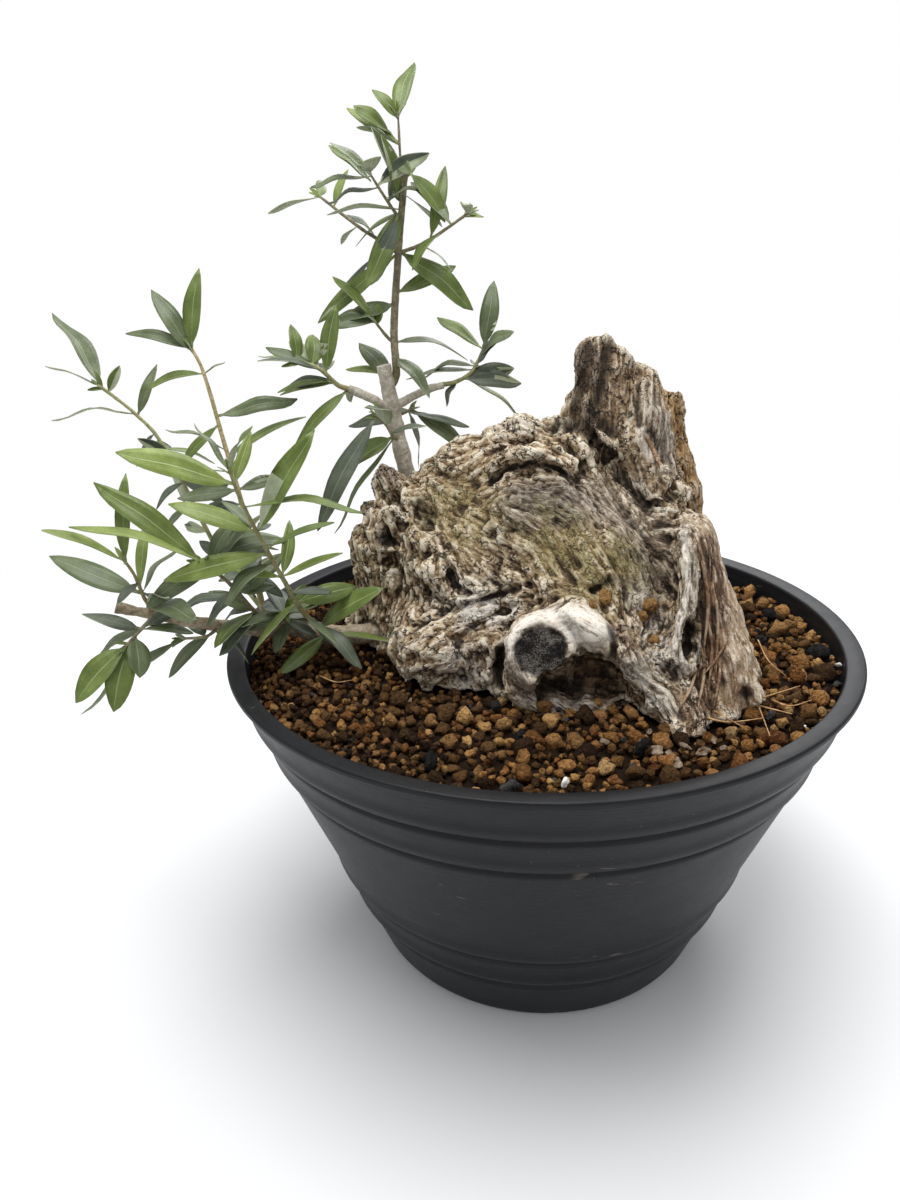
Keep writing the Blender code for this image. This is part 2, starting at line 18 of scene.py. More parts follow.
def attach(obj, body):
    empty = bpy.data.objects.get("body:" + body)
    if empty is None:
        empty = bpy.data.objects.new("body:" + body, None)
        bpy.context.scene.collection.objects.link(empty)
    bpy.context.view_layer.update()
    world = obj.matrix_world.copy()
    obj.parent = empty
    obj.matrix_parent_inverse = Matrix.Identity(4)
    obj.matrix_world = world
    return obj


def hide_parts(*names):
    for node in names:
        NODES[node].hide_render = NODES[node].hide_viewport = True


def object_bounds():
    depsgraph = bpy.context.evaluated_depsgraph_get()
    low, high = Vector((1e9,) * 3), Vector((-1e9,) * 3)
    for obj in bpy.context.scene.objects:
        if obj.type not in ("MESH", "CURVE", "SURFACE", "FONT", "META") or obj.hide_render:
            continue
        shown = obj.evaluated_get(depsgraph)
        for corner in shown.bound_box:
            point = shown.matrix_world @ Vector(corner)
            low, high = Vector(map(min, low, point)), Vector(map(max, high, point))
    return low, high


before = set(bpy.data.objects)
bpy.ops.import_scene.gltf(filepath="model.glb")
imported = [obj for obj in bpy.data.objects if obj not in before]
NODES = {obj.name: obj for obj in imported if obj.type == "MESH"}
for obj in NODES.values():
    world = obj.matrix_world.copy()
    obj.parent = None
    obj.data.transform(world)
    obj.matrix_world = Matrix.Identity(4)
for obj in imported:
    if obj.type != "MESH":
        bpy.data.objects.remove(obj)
cad_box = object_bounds()
MM = 0.001

# Camera, as the photo was taken
FRAME_WIDTH, FRAME_HEIGHT = 900, 1200
FOCAL = 902.0       # pixels
SENSOR = 36.0
CAMERA_PITCH = math.radians(22.167)
CAMERA_ROLL = math.radians(-1.842)
CAMERA_TARGET = Vector((-38.1, 0, 161.7))
CAMERA_DISTANCE = 396.4

# Bowl
POT_HEIGHT = 148.0
RIM_RADIUS = 135.0
LIP_WIDTH = 7.7
LIP_EDGE = 2.6          # height of the lip's outer edge
LIP_DEPTH = 4.0
FOOT_RADIUS = 77.0
WALL_TOP_RADIUS = 132.5
WALL = 4.0
GROOVE_HEIGHTS = (26.0, 44.0, 107.0, 125.3)
GROOVE_DEPTH = 1.7
BULGE = 1.3
DRAIN_HOLES = 8
DRAIN_RADIUS = 4.0
DRAIN_CIRCLE = 52.0
BOWL_SEGMENTS = 160

# Soil
SOIL_TOP = 140.0
SOIL_FLAT_RADIUS = 109.0
SOIL_SWELL = 0.6
SOIL_EDGE_DROP = 0.5
SOIL_BACK_DROP = 5.0
SOIL_LOW_SIDE = math.radians(75)
BED_SINK = 2.4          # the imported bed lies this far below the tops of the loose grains

# Bare limbs: points along the middle (x, y, z), and the radius at the foot and at the tip
Limb = namedtuple("Limb", "parent route radii")
LIMBS = {
    "rear_stem": Limb(None, ((-54, 22, 205), (-57, 23.5, 222), (-60, 24, 240), (-63, 24, 260)), (3.7, 3.1)),
    "rear_left_bough": Limb("rear_stem", ((-60, 24, 240), (-67, 20, 246), (-72, 18, 249), (-77.5, 16, 251.8)),
                            (2.0, 1.6)),
    "rear_right_bough": Limb("rear_stem", ((-60, 24, 242), (-52, 26, 246), (-44, 29, 249), (-38, 31, 250)),
                             (1.9, 1.5)),
    "left_limb": Limb(None, ((-64, 2, 150), (-78, -1, 147), (-95, -3, 149), (-110, -6, 156), (-119, -8, 161)),
                      (4.6, 4.4)),
    "left_arm": Limb("left_limb", ((-106, -5, 154), (-116, -12, 155), (-142, -22, 164), (-171, -34, 177)),
                     (3.0, 2.1)),
}

# Sprays: shoots with their leaves. A leaf is (place along the shoot from 0 to 1, heading in degrees
# from +X in plan, rise in degrees, length, width, and its mate's length on the shoot's far side).
Shoot = namedtuple("Shoot", "route radii leaves")
SPRAYS = {
    "rear_crown": ("rear_stem", (
        Shoot(((-61.5, 24.5, 250), (-58, 27, 256), (-58, 27, 274), (-54.5, 28, 305), (-50.5, 30, 334)),
              (2.1, 1.6), (
            (0.05, 165, 32, 26, 8, 0), (0.08, 180, 0, 25, 5, 0), (0.17, -50, -22, 24, 9, 0),
            (0.24, 4, 6, 30, 7, 0), (0.42, -165, -14, 24, 9, 0), (0.47, 12, 16, 28, 7, 0),
            (0.65, 185, -34, 44, 7, 0), (0.66, -14, -32, 38, 10, 0), (0.84, 178, 8, 30, 7, 0),
            (0.85, -118, 62, 32, 9, 0), (0.85, -125, -50, 36, 9, 0), (0.83, 165, -20, 24, 9, 0),
            (0.86, 120, 60, 18, 6, 0))),
        Shoot(((-55, 28, 304), (-62, 30, 309), (-70, 34, 314), (-87, 40, 327)), (1.0, 0.6), (
            (0.5, 150, -30, 12, 6, 0), (0.8, 20, 68, 16, 5, 0), (0.98, 180, -10, 22, 6, 0),
            (0.98, 90, 30, 14, 5, 0))),
        Shoot(((-55, 28, 304), (-48, 25, 306), (-41, 22, 309), (-26, 16, 318)), (1.0, 0.6), (
            (0.45, 40, 70, 30, 6, 0), (0.6, -165, -34, 18, 7, 0), (0.76, 150, 42, 27, 11, 0),
            (0.98, -94, 28, 18, 5, 8))),
        Shoot(((-53, 29, 316), (-52, 24, 338), (-52, 22, 355)), (0.9, 0.5), (
            (0.5, 100, 20, 20, 7, 16), (0.7, 180, 28, 18, 10, 0), (0.72, 175, 34, 24, 5, 0),
            (0.93, 180, 52, 14, 5, 0), (0.95, 85, 44, 33, 8, 0))),
        Shoot(((-53, 29, 316), (-60, 20, 327), (-64, 14, 334)), (0.9, 0.5), (
            (0.9, 178, -4, 24, 7, 0), (0.95, -168, 40, 18, 10, 14))),
        Shoot(((-58, 27, 268), (-62, 24, 273), (-66, 22, 279)), (0.9, 0.6), (
            (0.8, 90, 78, 9, 6, 0), (0.9, 180, 8, 18, 9, 0), (0.98, 160, 52, 24, 6, 0))),
    )),
    "rear_left_spray": ("rear_left_bough", (
        Shoot(((-76.5, 16.3, 251.3), (-82, 14.5, 254), (-87, 11, 260), (-92, 11, 263), (-98, 12, 264)),
              (1.4, 0.7), (
            (0.05, -150, -30, 34, 6, 0), (0.3, 176, -4, 24, 5, 0), (0.35, -165, -1, 23, 6, 0),
            (0.5, 0, 81, 27, 7, 0), (0.55, 90, 10, 24, 7, 0), (0.6, 178, 24, 24, 5, 0),
            (0.75, 60, 60, 14, 8, 0), (0.97, -155, 20, 16, 5, 0), (0.97, 100, 72, 16, 6, 0))),
    )),
    "rear_right_spray": ("rear_right_bough", (
        Shoot(((-40, 30.5, 250), (-32, 33, 251), (-25, 36, 255), (-19.5, 38, 265)), (1.3, 0.7), (
            (0.3, -150, -45, 12, 5, 0), (0.45, -8, -32, 34, 7, 0), (0.62, 178, -2, 30, 11, 0),
            (0.68, 168, 8, 24, 7, 0), (0.7, 90, -6, 24, 7, 0), (0.85, -55, 40, 22, 8, 0),
            (0.95, 175, 38, 24, 8, 0), (0.97, 20, 80, 28, 8, 0))),
    )),
    "rear_low_left_spray": ("rear_stem", (
        Shoot(((-58.5, 23.8, 229), (-60, 16.5, 231), (-63, 15, 237), (-67, 15, 241)), (1.0, 0.8), (
            (0.35, 195, -48, 48, 5, 0), (0.4, 188, -30, 24, 12, 0), (0.97, -146, -48, 54, 10, 0))),
    )),
    "rear_low_right_spray": ("rear_stem", (
        Shoot(((-60, 24, 238), (-55, 29, 239), (-52, 32, 240)), (0.9, 0.7), (
            (0.7, -5, -12, 28, 5, 0), (0.8, 20, -70, 26, 8, 0), (0.9, 110, -10, 30, 8, 0),
            (0.95, -8, -30, 33, 8, 0))),
    )),
    "left_tan_spray": ("left_limb", (
        Shoot(((-118, -7.5, 160), (-120, -6, 172), (-121, -2, 186), (-126, 4, 213), (-130, 6, 234),
               (-135, 8, 261), (-139, 8, 272)), (1.7, 0.8), (
            (0.48, 6, 14, 20, 6, 26), (0.6, 0, 26, 36, 7, 0), (0.72, 180, -38, 28, 6, 0),
            (0.75, 0, 12, 34, 7, 0), (0.9, 178, 0, 24, 7, 10), (0.97, 176, 58, 30, 9, 0),
            (0.99, 172, 26, 28, 6, 0), (0.99, 60, 82, 31, 9, 0))),
    )),
    "left_outer_spray": ("left_limb", (
        Shoot(((-117, -6.5, 160), (-124, 1, 165), (-142, 16, 185), (-162, 30, 226), (-174, 34, 241),
               (-189, 36, 254)), (1.5, 0.8), (
            (0.5, 147, -38, 30, 7, 24), (0.62, 110, -34, 28, 8, 22), (0.7, 40, -20, 26, 8, 0),
            (0.76, 150, -44, 22, 8, 0), (0.84, 20, 62, 24, 6, 0), (0.85, -122, 18, 36, 8, 0),
            (0.96, -10, 60, 13, 5, 0), (0.99, 185, 32, 26, 5, 0), (0.99, 128, 46, 42, 13, 0))),
    )),
    "left_front_spray": ("left_limb", (
        Shoot(((-93, -2.8, 149), (-93, -10, 152), (-96, -20, 162), (-100, -26, 172), (-110, -36, 204),
               (-115, -42, 223), (-117, -44, 234)), (1.6, 0.7), (
            (0.05, -125, -28, 28, 8, 0), (0.07, 10, -6, 32, 8, 0), (0.16, -20, 40, 36, 12, 0),
            (0.36, 20, 10, 26, 9, 28), (0.5, -25, 26, 30, 6, 22), (0.5, 80, 40, 28, 7, 0),
            (0.62, -157, -4, 40, 9, 0), (0.64, -15, 30, 28, 5, 0), (0.72, -33, 54, 48, 12, 34),
            (0.84, -14, 14, 46, 5, 0), (0.94, -122, 26, 50, 12, 22), (0.99, -64, 42, 34, 7, 24))),
    )),
    "left_mid_spray": ("left_limb", (
        Shoot(((-116, -8, 159), (-121, -15, 166), (-127, -25, 182), (-133, -39, 197)), (1.3, 0.8), (
            (0.2, 200, -18, 26, 11, 0), (0.45, -155, -25, 18, 7, 24), (0.85, -166, -8, 28, 9, 30),
            (0.92, 20, 60, 22, 7, 0), (0.97, 180, 44, 50, 11, 0), (0.97, -10, 2, 34, 12, 0),
            (0.97, -150, 36, 50, 8, 0))),
    )),
    "left_knot_spray": ("left_limb", (
        Shoot(((-109, -5.5, 156), (-108, -13, 161), (-106, -21, 167)), (1.0, 0.8), (
            (0.6, -140, 10, 20, 7, 0), (0.8, 12, 22, 28, 10, 0), (0.9, 60, 42, 16, 6, 0),
            (0.95, -10, 6, 22, 8, 0))),
    )),
    "left_arm_tip_spray": ("left_arm", (
        Shoot(((-158, -28.5, 171), (-160, -32, 180), (-161, -35, 190), (-163, -38, 198)), (1.1, 0.7), (
            (0.25, -41, 8, 34, 11, 0), (0.42, 180, 23, 40, 11, 28), (0.5, 82, 66, 28, 6, 0),
            (0.95, 100, 80, 34, 7, 0), (0.98, -112, 38, 43, 8, 0))),
    )),
    "left_arm_under_spray": ("left_arm", (
        Shoot(((-158, -28.5, 171), (-160, -38, 170), (-164, -50, 167)), (1.1, 0.7), (
            (0.4, 200, -26, 24, 11, 0), (0.5, 20, -10, 20, 8, 0), (0.7, -70, -42, 17, 11, 0),
            (0.8, -115, -46, 28, 12, 0), (0.96, -143, -30, 28, 12, 0))),
    )),
    "left_arm_middle_spray": ("left_arm", (
        Shoot(((-135, -19.5, 161.5), (-139, -27, 160), (-148, -33, 162)), (0.9, 0.7), (
            (0.25, 200, -30, 26, 9, 0), (0.97, 200, -24, 48, 10, 0))),
    )),
}
SPRAY_SEED = 41
LEAF_FACING = Vector((0.1, -0.5, 0.86))     # where the upper sides of the leaves turn, towards the light
LEAF_ROLL = math.radians(34)
LEAF_THICKNESS = 0.018           # of the leaf's length
LEAF_SAG = 0.10                  # of the leaf's length, at its tip
LEAF_FOOT = 2.2                  # of each leaf, lies on its own shoot
PETIOLE_RADIUS = 0.45
LEAF_TRIES = ((0, 0), (0, 10), (12, 5), (-12, 5), (0, -12), (24, 10), (-24, 10), (0, 24), (40, 15), (-40, 15))
GAP = 0.3


def srgb(red, green, blue):
    """A colour as seen, from 0 to 255, as the shader's linear one."""
    def linear(part):
        part /= 255
        return part / 12.92 if part <= 0.04045 else ((part + 0.055) / 1.055) ** 2.4
    return (linear(red), linear(green), linear(blue), 1.0)


class Value:
    """A shader socket. Arithmetic on it adds Math nodes to its finish."""

    def __init__(self, finish, socket):
        self.finish = finish
        self.socket = socket

    def math(self, operation, first, second):
        return self.finish.node("ShaderNodeMath", {"operation": operation}, {0: first, 1: second})

    def __add__(self, other):
        return self.math("ADD", self, other)

    def __sub__(self, other):
        return self.math("SUBTRACT", self, other)

    def __rsub__(self, other):
        return self.math("SUBTRACT", other, self)

    def __mul__(self, other):
        return self.math("MULTIPLY", self, other)

    def __pow__(self, other):
        return self.math("POWER", self, other)

    __radd__ = __add__
    __rmul__ = __mul__

    def step(self, low, high):
        """0 below low and 1 above high, with a smooth rise between; low may be the higher one."""
        return self.finish.node("ShaderNodeMapRange", {"interpolation_type": "SMOOTHSTEP"},
                                {0: self, 1: low, 2: high, 3: 0.0, 4: 1.0})


class Finish:
    """A material: a Principled shader, and the nodes that vary it."""

    def __init__(self, name, **constants):
        self.material = bpy.data.materials.new(name)
        self.material.use_nodes = True
        self.tree = self.material.node_tree
        self.shader = self.tree.nodes["Principled BSDF"]
        for label, value in constants.items():
            self.shader.inputs[label.replace("_", " ")].default_value = value

    def feed(self, socket, value):
        if isinstance(value, Value):
            self.tree.links.new(value.socket, socket)
        else:
            socket.default_value = value

    def node(self, kind, settings=None, values=None, out=0):
        """Add a node: its settings first, then the values or links of its sockets."""
        made = self.tree.nodes.new(kind)
        for key, value in (settings or {}).items():
            setattr(made, key, value)
        for key, value in (values or {}).items():
            self.feed(made.inputs[key], value)
        return Value(self, made.outputs[out])

    def place(self):
        """Where a point lies on the piece, in millimetres."""
        spot = self.node("ShaderNodeTexCoord", out="Object")
        return self.node("ShaderNodeVectorMath", {"operation": "SCALE"}, {0: spot, "Scale": 1 / MM})

    def stretched(self, place, x, y, z):
        return self.node("ShaderNodeVectorMath", {"operation": "MULTIPLY"}, {0: place, 1: (x, y, z)})

    def drawn(self, place, direction, length):
        """The place with one direction shortened, so that a noise there is drawn out along it."""
        turn = Matrix((direction, FORWARD.cross(direction), FORWARD)).transposed().to_euler()
        return self.node("ShaderNodeMapping", {"vector_type": "TEXTURE"},
                         {"Vector": place, "Rotation": tuple(turn), "Scale": (length, 1, 1)}, out="Vector")

    def noise(self, place, size, detail=3.0, roughness=0.55, distortion=0.0):
        """Noise from 0 to 1, with bumps of the given size."""
        return self.node("ShaderNodeTexNoise", None,
                         {"Vector": place, "Scale": 1 / size, "Detail": detail, "Roughness": roughness,
                          "Distortion": distortion}, out="Fac")

    def cells(self, place, size, feature="F1"):
        return self.node("ShaderNodeTexVoronoi", {"feature": feature}, {"Vector": place, "Scale": 1 / size},
                         out="Distance")

    def attribute(self, name):
        return self.node("ShaderNodeAttribute", {"attribute_name": name}, out="Fac")

    def colour(self, low, high, factor, mode="MIX"):
        """A colour between two others, or one laid over the other in a blend mode."""
        made = self.tree.nodes.new("ShaderNodeMix")
        made.data_type = "RGBA"
        made.blend_type = mode
        made.clamp_result = False
        for index, value in ((0, factor), (6, low), (7, high)):
            self.feed(made.inputs[index], value)
        return Value(self, made.outputs[2])

    def ramp(self, value, *stops):
        """A colour from (place, colour) stops along a value."""
        made = self.tree.nodes.new("ShaderNodeValToRGB")
        band = made.color_ramp.elements
        while len(band) < len(stops):
            band.new(1.0)
        for element, (place, colour) in zip(band, stops):
            element.position = place
            element.color = colour
        self.feed(made.inputs[0], value)
        return Value(self, made.outputs[0])

    def bump(self, height, distance, strength=1.0, under=None):
        """A bump of the given depth in millimetres, for the shader's Normal."""
        values = {"Height": height, "Distance": distance * MM, "Strength": strength}
        if under:
            values["Normal"] = under
        return self.node("ShaderNodeBump", None, values)

    def set(self, **links):
        for label, value in links.items():
            self.feed(self.shader.inputs[label.replace("_", " ")], value)
        return self.material


def new_object(name, bm, *materials):
    """Turn a bmesh in millimetres into an object in metres."""
    bmesh.ops.scale(bm, vec=(MM, MM, MM), verts=bm.verts)
    mesh = bpy.data.meshes.new(name)
    bm.to_mesh(mesh)
    bm.free()
    obj = bpy.data.objects.new(name, mesh)
    bpy.context.scene.collection.objects.link(obj)
    for made in materials:
        mesh.materials.append(made)
    return obj


def piece(obj, slot, *nodes):
    """Let a finished object ride on the root, for the nodes that it stands for, which it hides; the slot is not used.
    """
    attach(obj, "root")
    if nodes:
        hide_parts(*nodes)
    return obj


def smooth(obj, angle=40):
    obj.data.shade_smooth()
    obj.data.set_sharp_from_angle(angle=math.radians(angle))


def apply_modifiers(obj):
    """Swap the object's mesh for the one that its modifiers make."""
    graph = bpy.context.evaluated_depsgraph_get()
    made = bpy.data.meshes.new_from_object(obj.evaluated_get(graph), depsgraph=graph)
    old = obj.data
    obj.modifiers.clear()
    obj.data = made
    made.name = obj.name
    bpy.data.meshes.remove(old)


def remesh(obj, voxel):
    skin = obj.modifiers.new("skin", "REMESH")
    skin.mode = "VOXEL"
    skin.voxel_size = voxel * MM
    apply_modifiers(obj)


def relax(obj, times):
    soft = obj.modifiers.new("soft", "SMOOTH")
    soft.iterations = times
    apply_modifiers(obj)


def thin(obj, most):
    """Takes triangles out where the surface is flattest, until only so many are left."""
    obj.data.calc_loop_triangles()
    fewer = obj.modifiers.new("fewer", "DECIMATE")
    fewer.ratio = most / len(obj.data.loop_triangles)
    apply_modifiers(obj)


def read_points(mesh):
    """The mesh's points, in millimetres, as an array."""
    flat = np.empty(len(mesh.vertices) * 3, np.float32)
    mesh.vertices.foreach_get("co", flat)
    return flat.reshape(-1, 3).astype(float) / MM


def write_points(mesh, points):
    mesh.vertices.foreach_set("co", (points * MM).astype(np.float32).ravel())
    mesh.update()


def read_normals(mesh):
    flat = np.empty(len(mesh.vertices) * 3, np.float32)
    mesh.vertex_normals.foreach_get("vector", flat)
    return flat.reshape(-1, 3).astype(float)


def read_edges(mesh):
    flat = np.empty(len(mesh.edges) * 2, np.int32)
    mesh.edges.foreach_get("vertices", flat)
    return flat.reshape(-1, 2)


def spread(values, edges, times):
    """Values evened out with their neighbours' along the edges."""
    counts = np.bincount(edges.ravel(), minlength=len(values)) + 1.0
    for _ in range(times):
        total = values.copy()
        for axis in range(values.shape[1]):
            total[:, axis] += np.bincount(edges[:, 0], values[edges[:, 1], axis], len(values))
            total[:, axis] += np.bincount(edges[:, 1], values[edges[:, 0], axis], len(values))
        values = total / counts[:, None]
    return values


def note(mesh, name, values):
    """Keep a number for each point, which a finish reads."""
    made = mesh.attributes.new(name, "FLOAT", "POINT")
    made.data.foreach_set("value", np.clip(values, 0, 1).astype(np.float32))


def rise(values, low, high):
    """0 below low and 1 above high, with a smooth rise between; low may be the higher one."""
    part = np.clip((values - low) / (high - low), 0, 1)
    return part * part * (3 - 2 * part)


def scramble(cells, seed):
    """A whole number for each cell of a grid, that looks random."""
    mixed = cells[:, 0] * 73856093 ^ cells[:, 1] * 19349663 ^ cells[:, 2] * 83492791 ^ seed * 2654435761
    mixed = (mixed ^ (mixed >> 13)) * 1274126177 & 0x7FFFFFFF
    return (mixed ^ (mixed >> 11)) * 668265263 & 0x7FFFFFFF


def swell(points, size, seed=0):
    """Smooth noise, about -1 to 1, with bumps of the given size."""
    spots = points / size + 0.37 * seed
    corner_cell = np.floor(spots)
    part = spots - corner_cell
    corner_cell = corner_cell.astype(np.int64)
    fade = part ** 3 * (part * (part * 6 - 15) + 10)
    total = np.zeros(len(points))
    for corner in itertools.product((0, 1), repeat=3):
        drawn = scramble(corner_cell + np.array(corner), seed)
        lean = np.stack([(drawn & 1023), (drawn >> 10) & 1023, (drawn >> 20) & 1023], 1) / 511.5 - 1
        weight = np.where(np.array(corner), fade, 1 - fade).prod(1)
        total += weight * (lean * (part - np.array(corner))).sum(1)
    return total * 1.7


def rugged(points, size, octaves, seed=0, keep=0.55):
    """Noise with finer and finer bumps."""
    total, weight = np.zeros(len(points)), 1.0
    for octave in range(octaves):
        total += weight * swell(points, size / 2 ** octave, seed + octave)
        weight *= keep
    return total


def plates(points, size, seed=0):
    """For each point: how far inside its cell of a cracked pattern it lies, and that cell's own number."""
    spots = points / size
    home = np.floor(spots).astype(np.int64)
    near = np.full(len(points), 9.0)
    second = np.full(len(points), 9.0)
    number = np.zeros(len(points))
    for step in itertools.product((-1, 0, 1), repeat=3):
        cell = home + np.array(step)
        drawn = scramble(cell, seed)
        middle = cell + np.stack([(drawn & 1023), (drawn >> 10) & 1023, (drawn >> 20) & 1023], 1) / 1023
        away = np.linalg.norm(middle - spots, axis=1)
        closer = away < near
        second = np.where(closer, near, np.minimum(second, away))
        number = np.where(closer, (drawn % 997) / 997, number)
        near = np.where(closer, away, near)
    return (second - near) * size, number


FORWARD = Vector((0, math.cos(CAMERA_PITCH), -math.sin(CAMERA_PITCH)))
LEVEL_RIGHT = Vector((1, 0, 0))
LEVEL_UP = LEVEL_RIGHT.cross(FORWARD)
RIGHT = math.cos(CAMERA_ROLL) * LEVEL_RIGHT + math.sin(CAMERA_ROLL) * LEVEL_UP
UP = math.cos(CAMERA_ROLL) * LEVEL_UP - math.sin(CAMERA_ROLL) * LEVEL_RIGHT
CAMERA_SPOT = CAMERA_TARGET - FORWARD * CAMERA_DISTANCE


def sight(pixel):
    """The direction in which the camera sees a pixel of the photo."""
    across, down = pixel[0] - FRAME_WIDTH / 2, pixel[1] - FRAME_HEIGHT / 2
    return (FORWARD + RIGHT * (across / FOCAL) - UP * (down / FOCAL)).normalized()


def make_camera():
    lens = bpy.data.cameras.new("camera")
    lens.sensor_width = SENSOR
    lens.lens = FOCAL / FRAME_HEIGHT * SENSOR
    lens.clip_start = 0.01
    camera = bpy.data.objects.new("camera", lens)
    bpy.context.scene.collection.objects.link(camera)
    turn = Matrix((RIGHT, UP, -FORWARD)).transposed().to_4x4()
    camera.matrix_world = Matrix.Translation(CAMERA_SPOT * MM) @ turn
    bpy.context.scene.camera = camera


def make_studio():
    """A plain pale floor that fades into white, a large soft lamp above, and pale light all around."""
    finish = Finish("studio_floor", Base_Color=srgb(236, 237, 238), Roughness=0.8)
    reach = finish.node("ShaderNodeVectorMath", {"operation": "LENGTH"}, {0: finish.place()}, out="Value")
    finish.set(Alpha=reach.step(FLOOR_FADE[1], FLOOR_FADE[0]))
    bm = bmesh.new()
    bmesh.ops.create_circle(bm, cap_ends=True, segments=96, radius=FLOOR_FADE[1] + 50)
    new_object("floor", bm, finish.material)
    world = bpy.data.worlds.new("studio")
    bpy.context.scene.world = world
    world.use_nodes = True
    tree = world.node_tree
    glow = tree.nodes["Background"]
    glow.inputs["Color"].default_value = srgb(252, 253, 255)
    glow.inputs["Strength"].default_value = GLOW
    backdrop = tree.nodes.new("ShaderNodeBackground")
    backdrop.inputs["Color"].default_value = (1, 1, 1, 1)
    seen = tree.nodes.new("ShaderNodeLightPath")
    either = tree.nodes.new("ShaderNodeMixShader")
    tree.links.new(seen.outputs["Is Camera Ray"], either.inputs[0])
    tree.links.new(glow.outputs[0], either.inputs[1])
    tree.links.new(backdrop.outputs[0], either.inputs[2])
    tree.links.new(either.outputs[0], tree.nodes["World Output"].inputs["Surface"])
    for name, spot, aim, size, power in LAMPS:
        lamp = bpy.data.lights.new(name, "AREA")
        lamp.shape = "SQUARE"
        lamp.size = size
        lamp.energy = power
        holder = bpy.data.objects.new(name, lamp)
        bpy.context.scene.collection.objects.link(holder)
        away = Vector(spot) - Vector(aim)
        holder.location = spot
        holder.rotation_euler = away.to_track_quat("Z", "Y").to_euler()
    bpy.context.scene.view_settings.view_transform = "Standard"


FLOOR_FADE = (330.0, 900.0)     # the floor is whole up to the first radius and gone at the second
GLOW = 0.58
LAMPS = (
    ("top_lamp", (-0.08, -0.12, 1.25), (0.0, 0.0, 0.15), 0.8, 13.0),
    ("back_lamp", (0.35, 1.0, 0.9), (0.0, 0.0, 0.2), 0.7, 6.0),
)


def turned(profile, segments):
    """A closed body turned round Z from (radius, height) points, first and last on the axis."""
    bm = bmesh.new()
    points = [bm.verts.new((radius, 0, height)) for radius, height in profile]
    edges = [bm.edges.new(pair) for pair in zip(points, points[1:])]
    bmesh.ops.spin(bm, geom=points + edges, cent=(0, 0, 0), axis=(0, 0, 1),
                   angle=math.tau, steps=segments, use_merge=True)
    bmesh.ops.remove_doubles(bm, verts=bm.verts, dist=1e-4)
    bmesh.ops.recalc_face_normals(bm, faces=bm.faces)
    return bm


def wall_radius(height):
    """Outer radius of the bowl's straight wall."""
    slope = (WALL_TOP_RADIUS - FOOT_RADIUS) / (POT_HEIGHT - LIP_DEPTH)
    return FOOT_RADIUS + slope * height


def banded_radius(height):
    """Outer radius with the wall's bands, each of which swells and then tucks in to its groove."""
    radius = wall_radius(height)
    for groove in GROOVE_HEIGHTS:
        radius += BULGE * math.exp(-((height - groove - 4.2) / 3.4) ** 2)
        radius -= GROOVE_DEPTH * math.exp(-((height - groove + 0.4) / 1.5) ** 2)
    return radius


def arc(middle, radius, start, end, steps):
    """Points (radius, height) round a quarter or half turn, from one angle in degrees to another."""
    turns = [math.radians(start + (end - start) * step / steps) for step in range(steps + 1)]
    return [(middle[0] + radius * math.cos(turn), middle[1] + radius * math.sin(turn)) for turn in turns]


def pot_profile():
    lip_foot = POT_HEIGHT - LIP_DEPTH
    inner = RIM_RADIUS - LIP_WIDTH
    outside = [(0, 0)] + arc((FOOT_RADIUS - 1.8, 2.0), 2.0, -90, -12, 5)
    under = POT_HEIGHT - LIP_EDGE
    heights = np.linspace(3.0, under - 1.6, 170)
    outside += [(banded_radius(height), height) for height in heights]
    outside += [(WALL_TOP_RADIUS - 1.1, under - 0.7), (WALL_TOP_RADIUS - 1.1, under - 0.1)]
    lip = [(RIM_RADIUS - 0.9, under)] + arc((RIM_RADIUS - 0.7, under + 0.7), 0.7, -60, 0, 3)
    lip += arc((RIM_RADIUS - 1.0, POT_HEIGHT - 1.0), 1.0, 0, 80, 5)
    lip += arc((inner + 1.2, POT_HEIGHT - 1.9), 1.2, 100, 180, 5)
    inside = [(inner, lip_foot - 2), (wall_radius(WALL) - WALL, WALL), (0, WALL)]
    return outside + lip + inside


def plastic_finish():
    """Charcoal plastic: fine brushing round the wall, dull pale scuffs, and dust."""
    finish = Finish("charcoal_plastic", Roughness=0.5)
    finish.shader.inputs["Specular IOR Level"].default_value = 0.29
    place = finish.place()
    brushed = finish.noise(finish.stretched(place, 0.06, 0.06, 1.6), 1.0, 3.0, 0.6)
    coarse = finish.noise(place, 45.0, 4.0, 0.6)
    cloud = finish.noise(place, 9.0, 5.0, 0.7)
    colour = finish.ramp(coarse * 0.45 + brushed * 0.40 + cloud * 0.15,
                         (0.34, srgb(8, 9, 12)), (0.5, srgb(15, 16, 20)), (0.66, srgb(27, 28, 33)))
    scratch_place = finish.stretched(place, 0.16, 0.16, 0.9)
    scratches = finish.noise(scratch_place, 3.0, 2.0, 0.5, 1.2)
    where = finish.noise(place, 38.0, 1.0, 0.5)
    scuffs = scratches.step(0.68, 0.74) * where.step(0.53, 0.60)
    specks = finish.cells(place, 3.1).step(0.10, 0.04) * finish.noise(place, 30.0, 2.0, 0.5).step(0.5, 0.62)
    colour = finish.colour(colour, srgb(130, 122, 112), scuffs * 0.5)
    colour = finish.colour(colour, srgb(140, 120, 98), specks * 0.45)
    relief = brushed * 0.7 + cloud * 0.3 + finish.noise(place, 1.1, 2.0, 0.6) * 0.3
    return finish.set(Base_Color=colour, Roughness=0.38 + cloud * 0.18 + scuffs * 0.2,
                      Normal=finish.bump(relief, 0.2, 0.9))


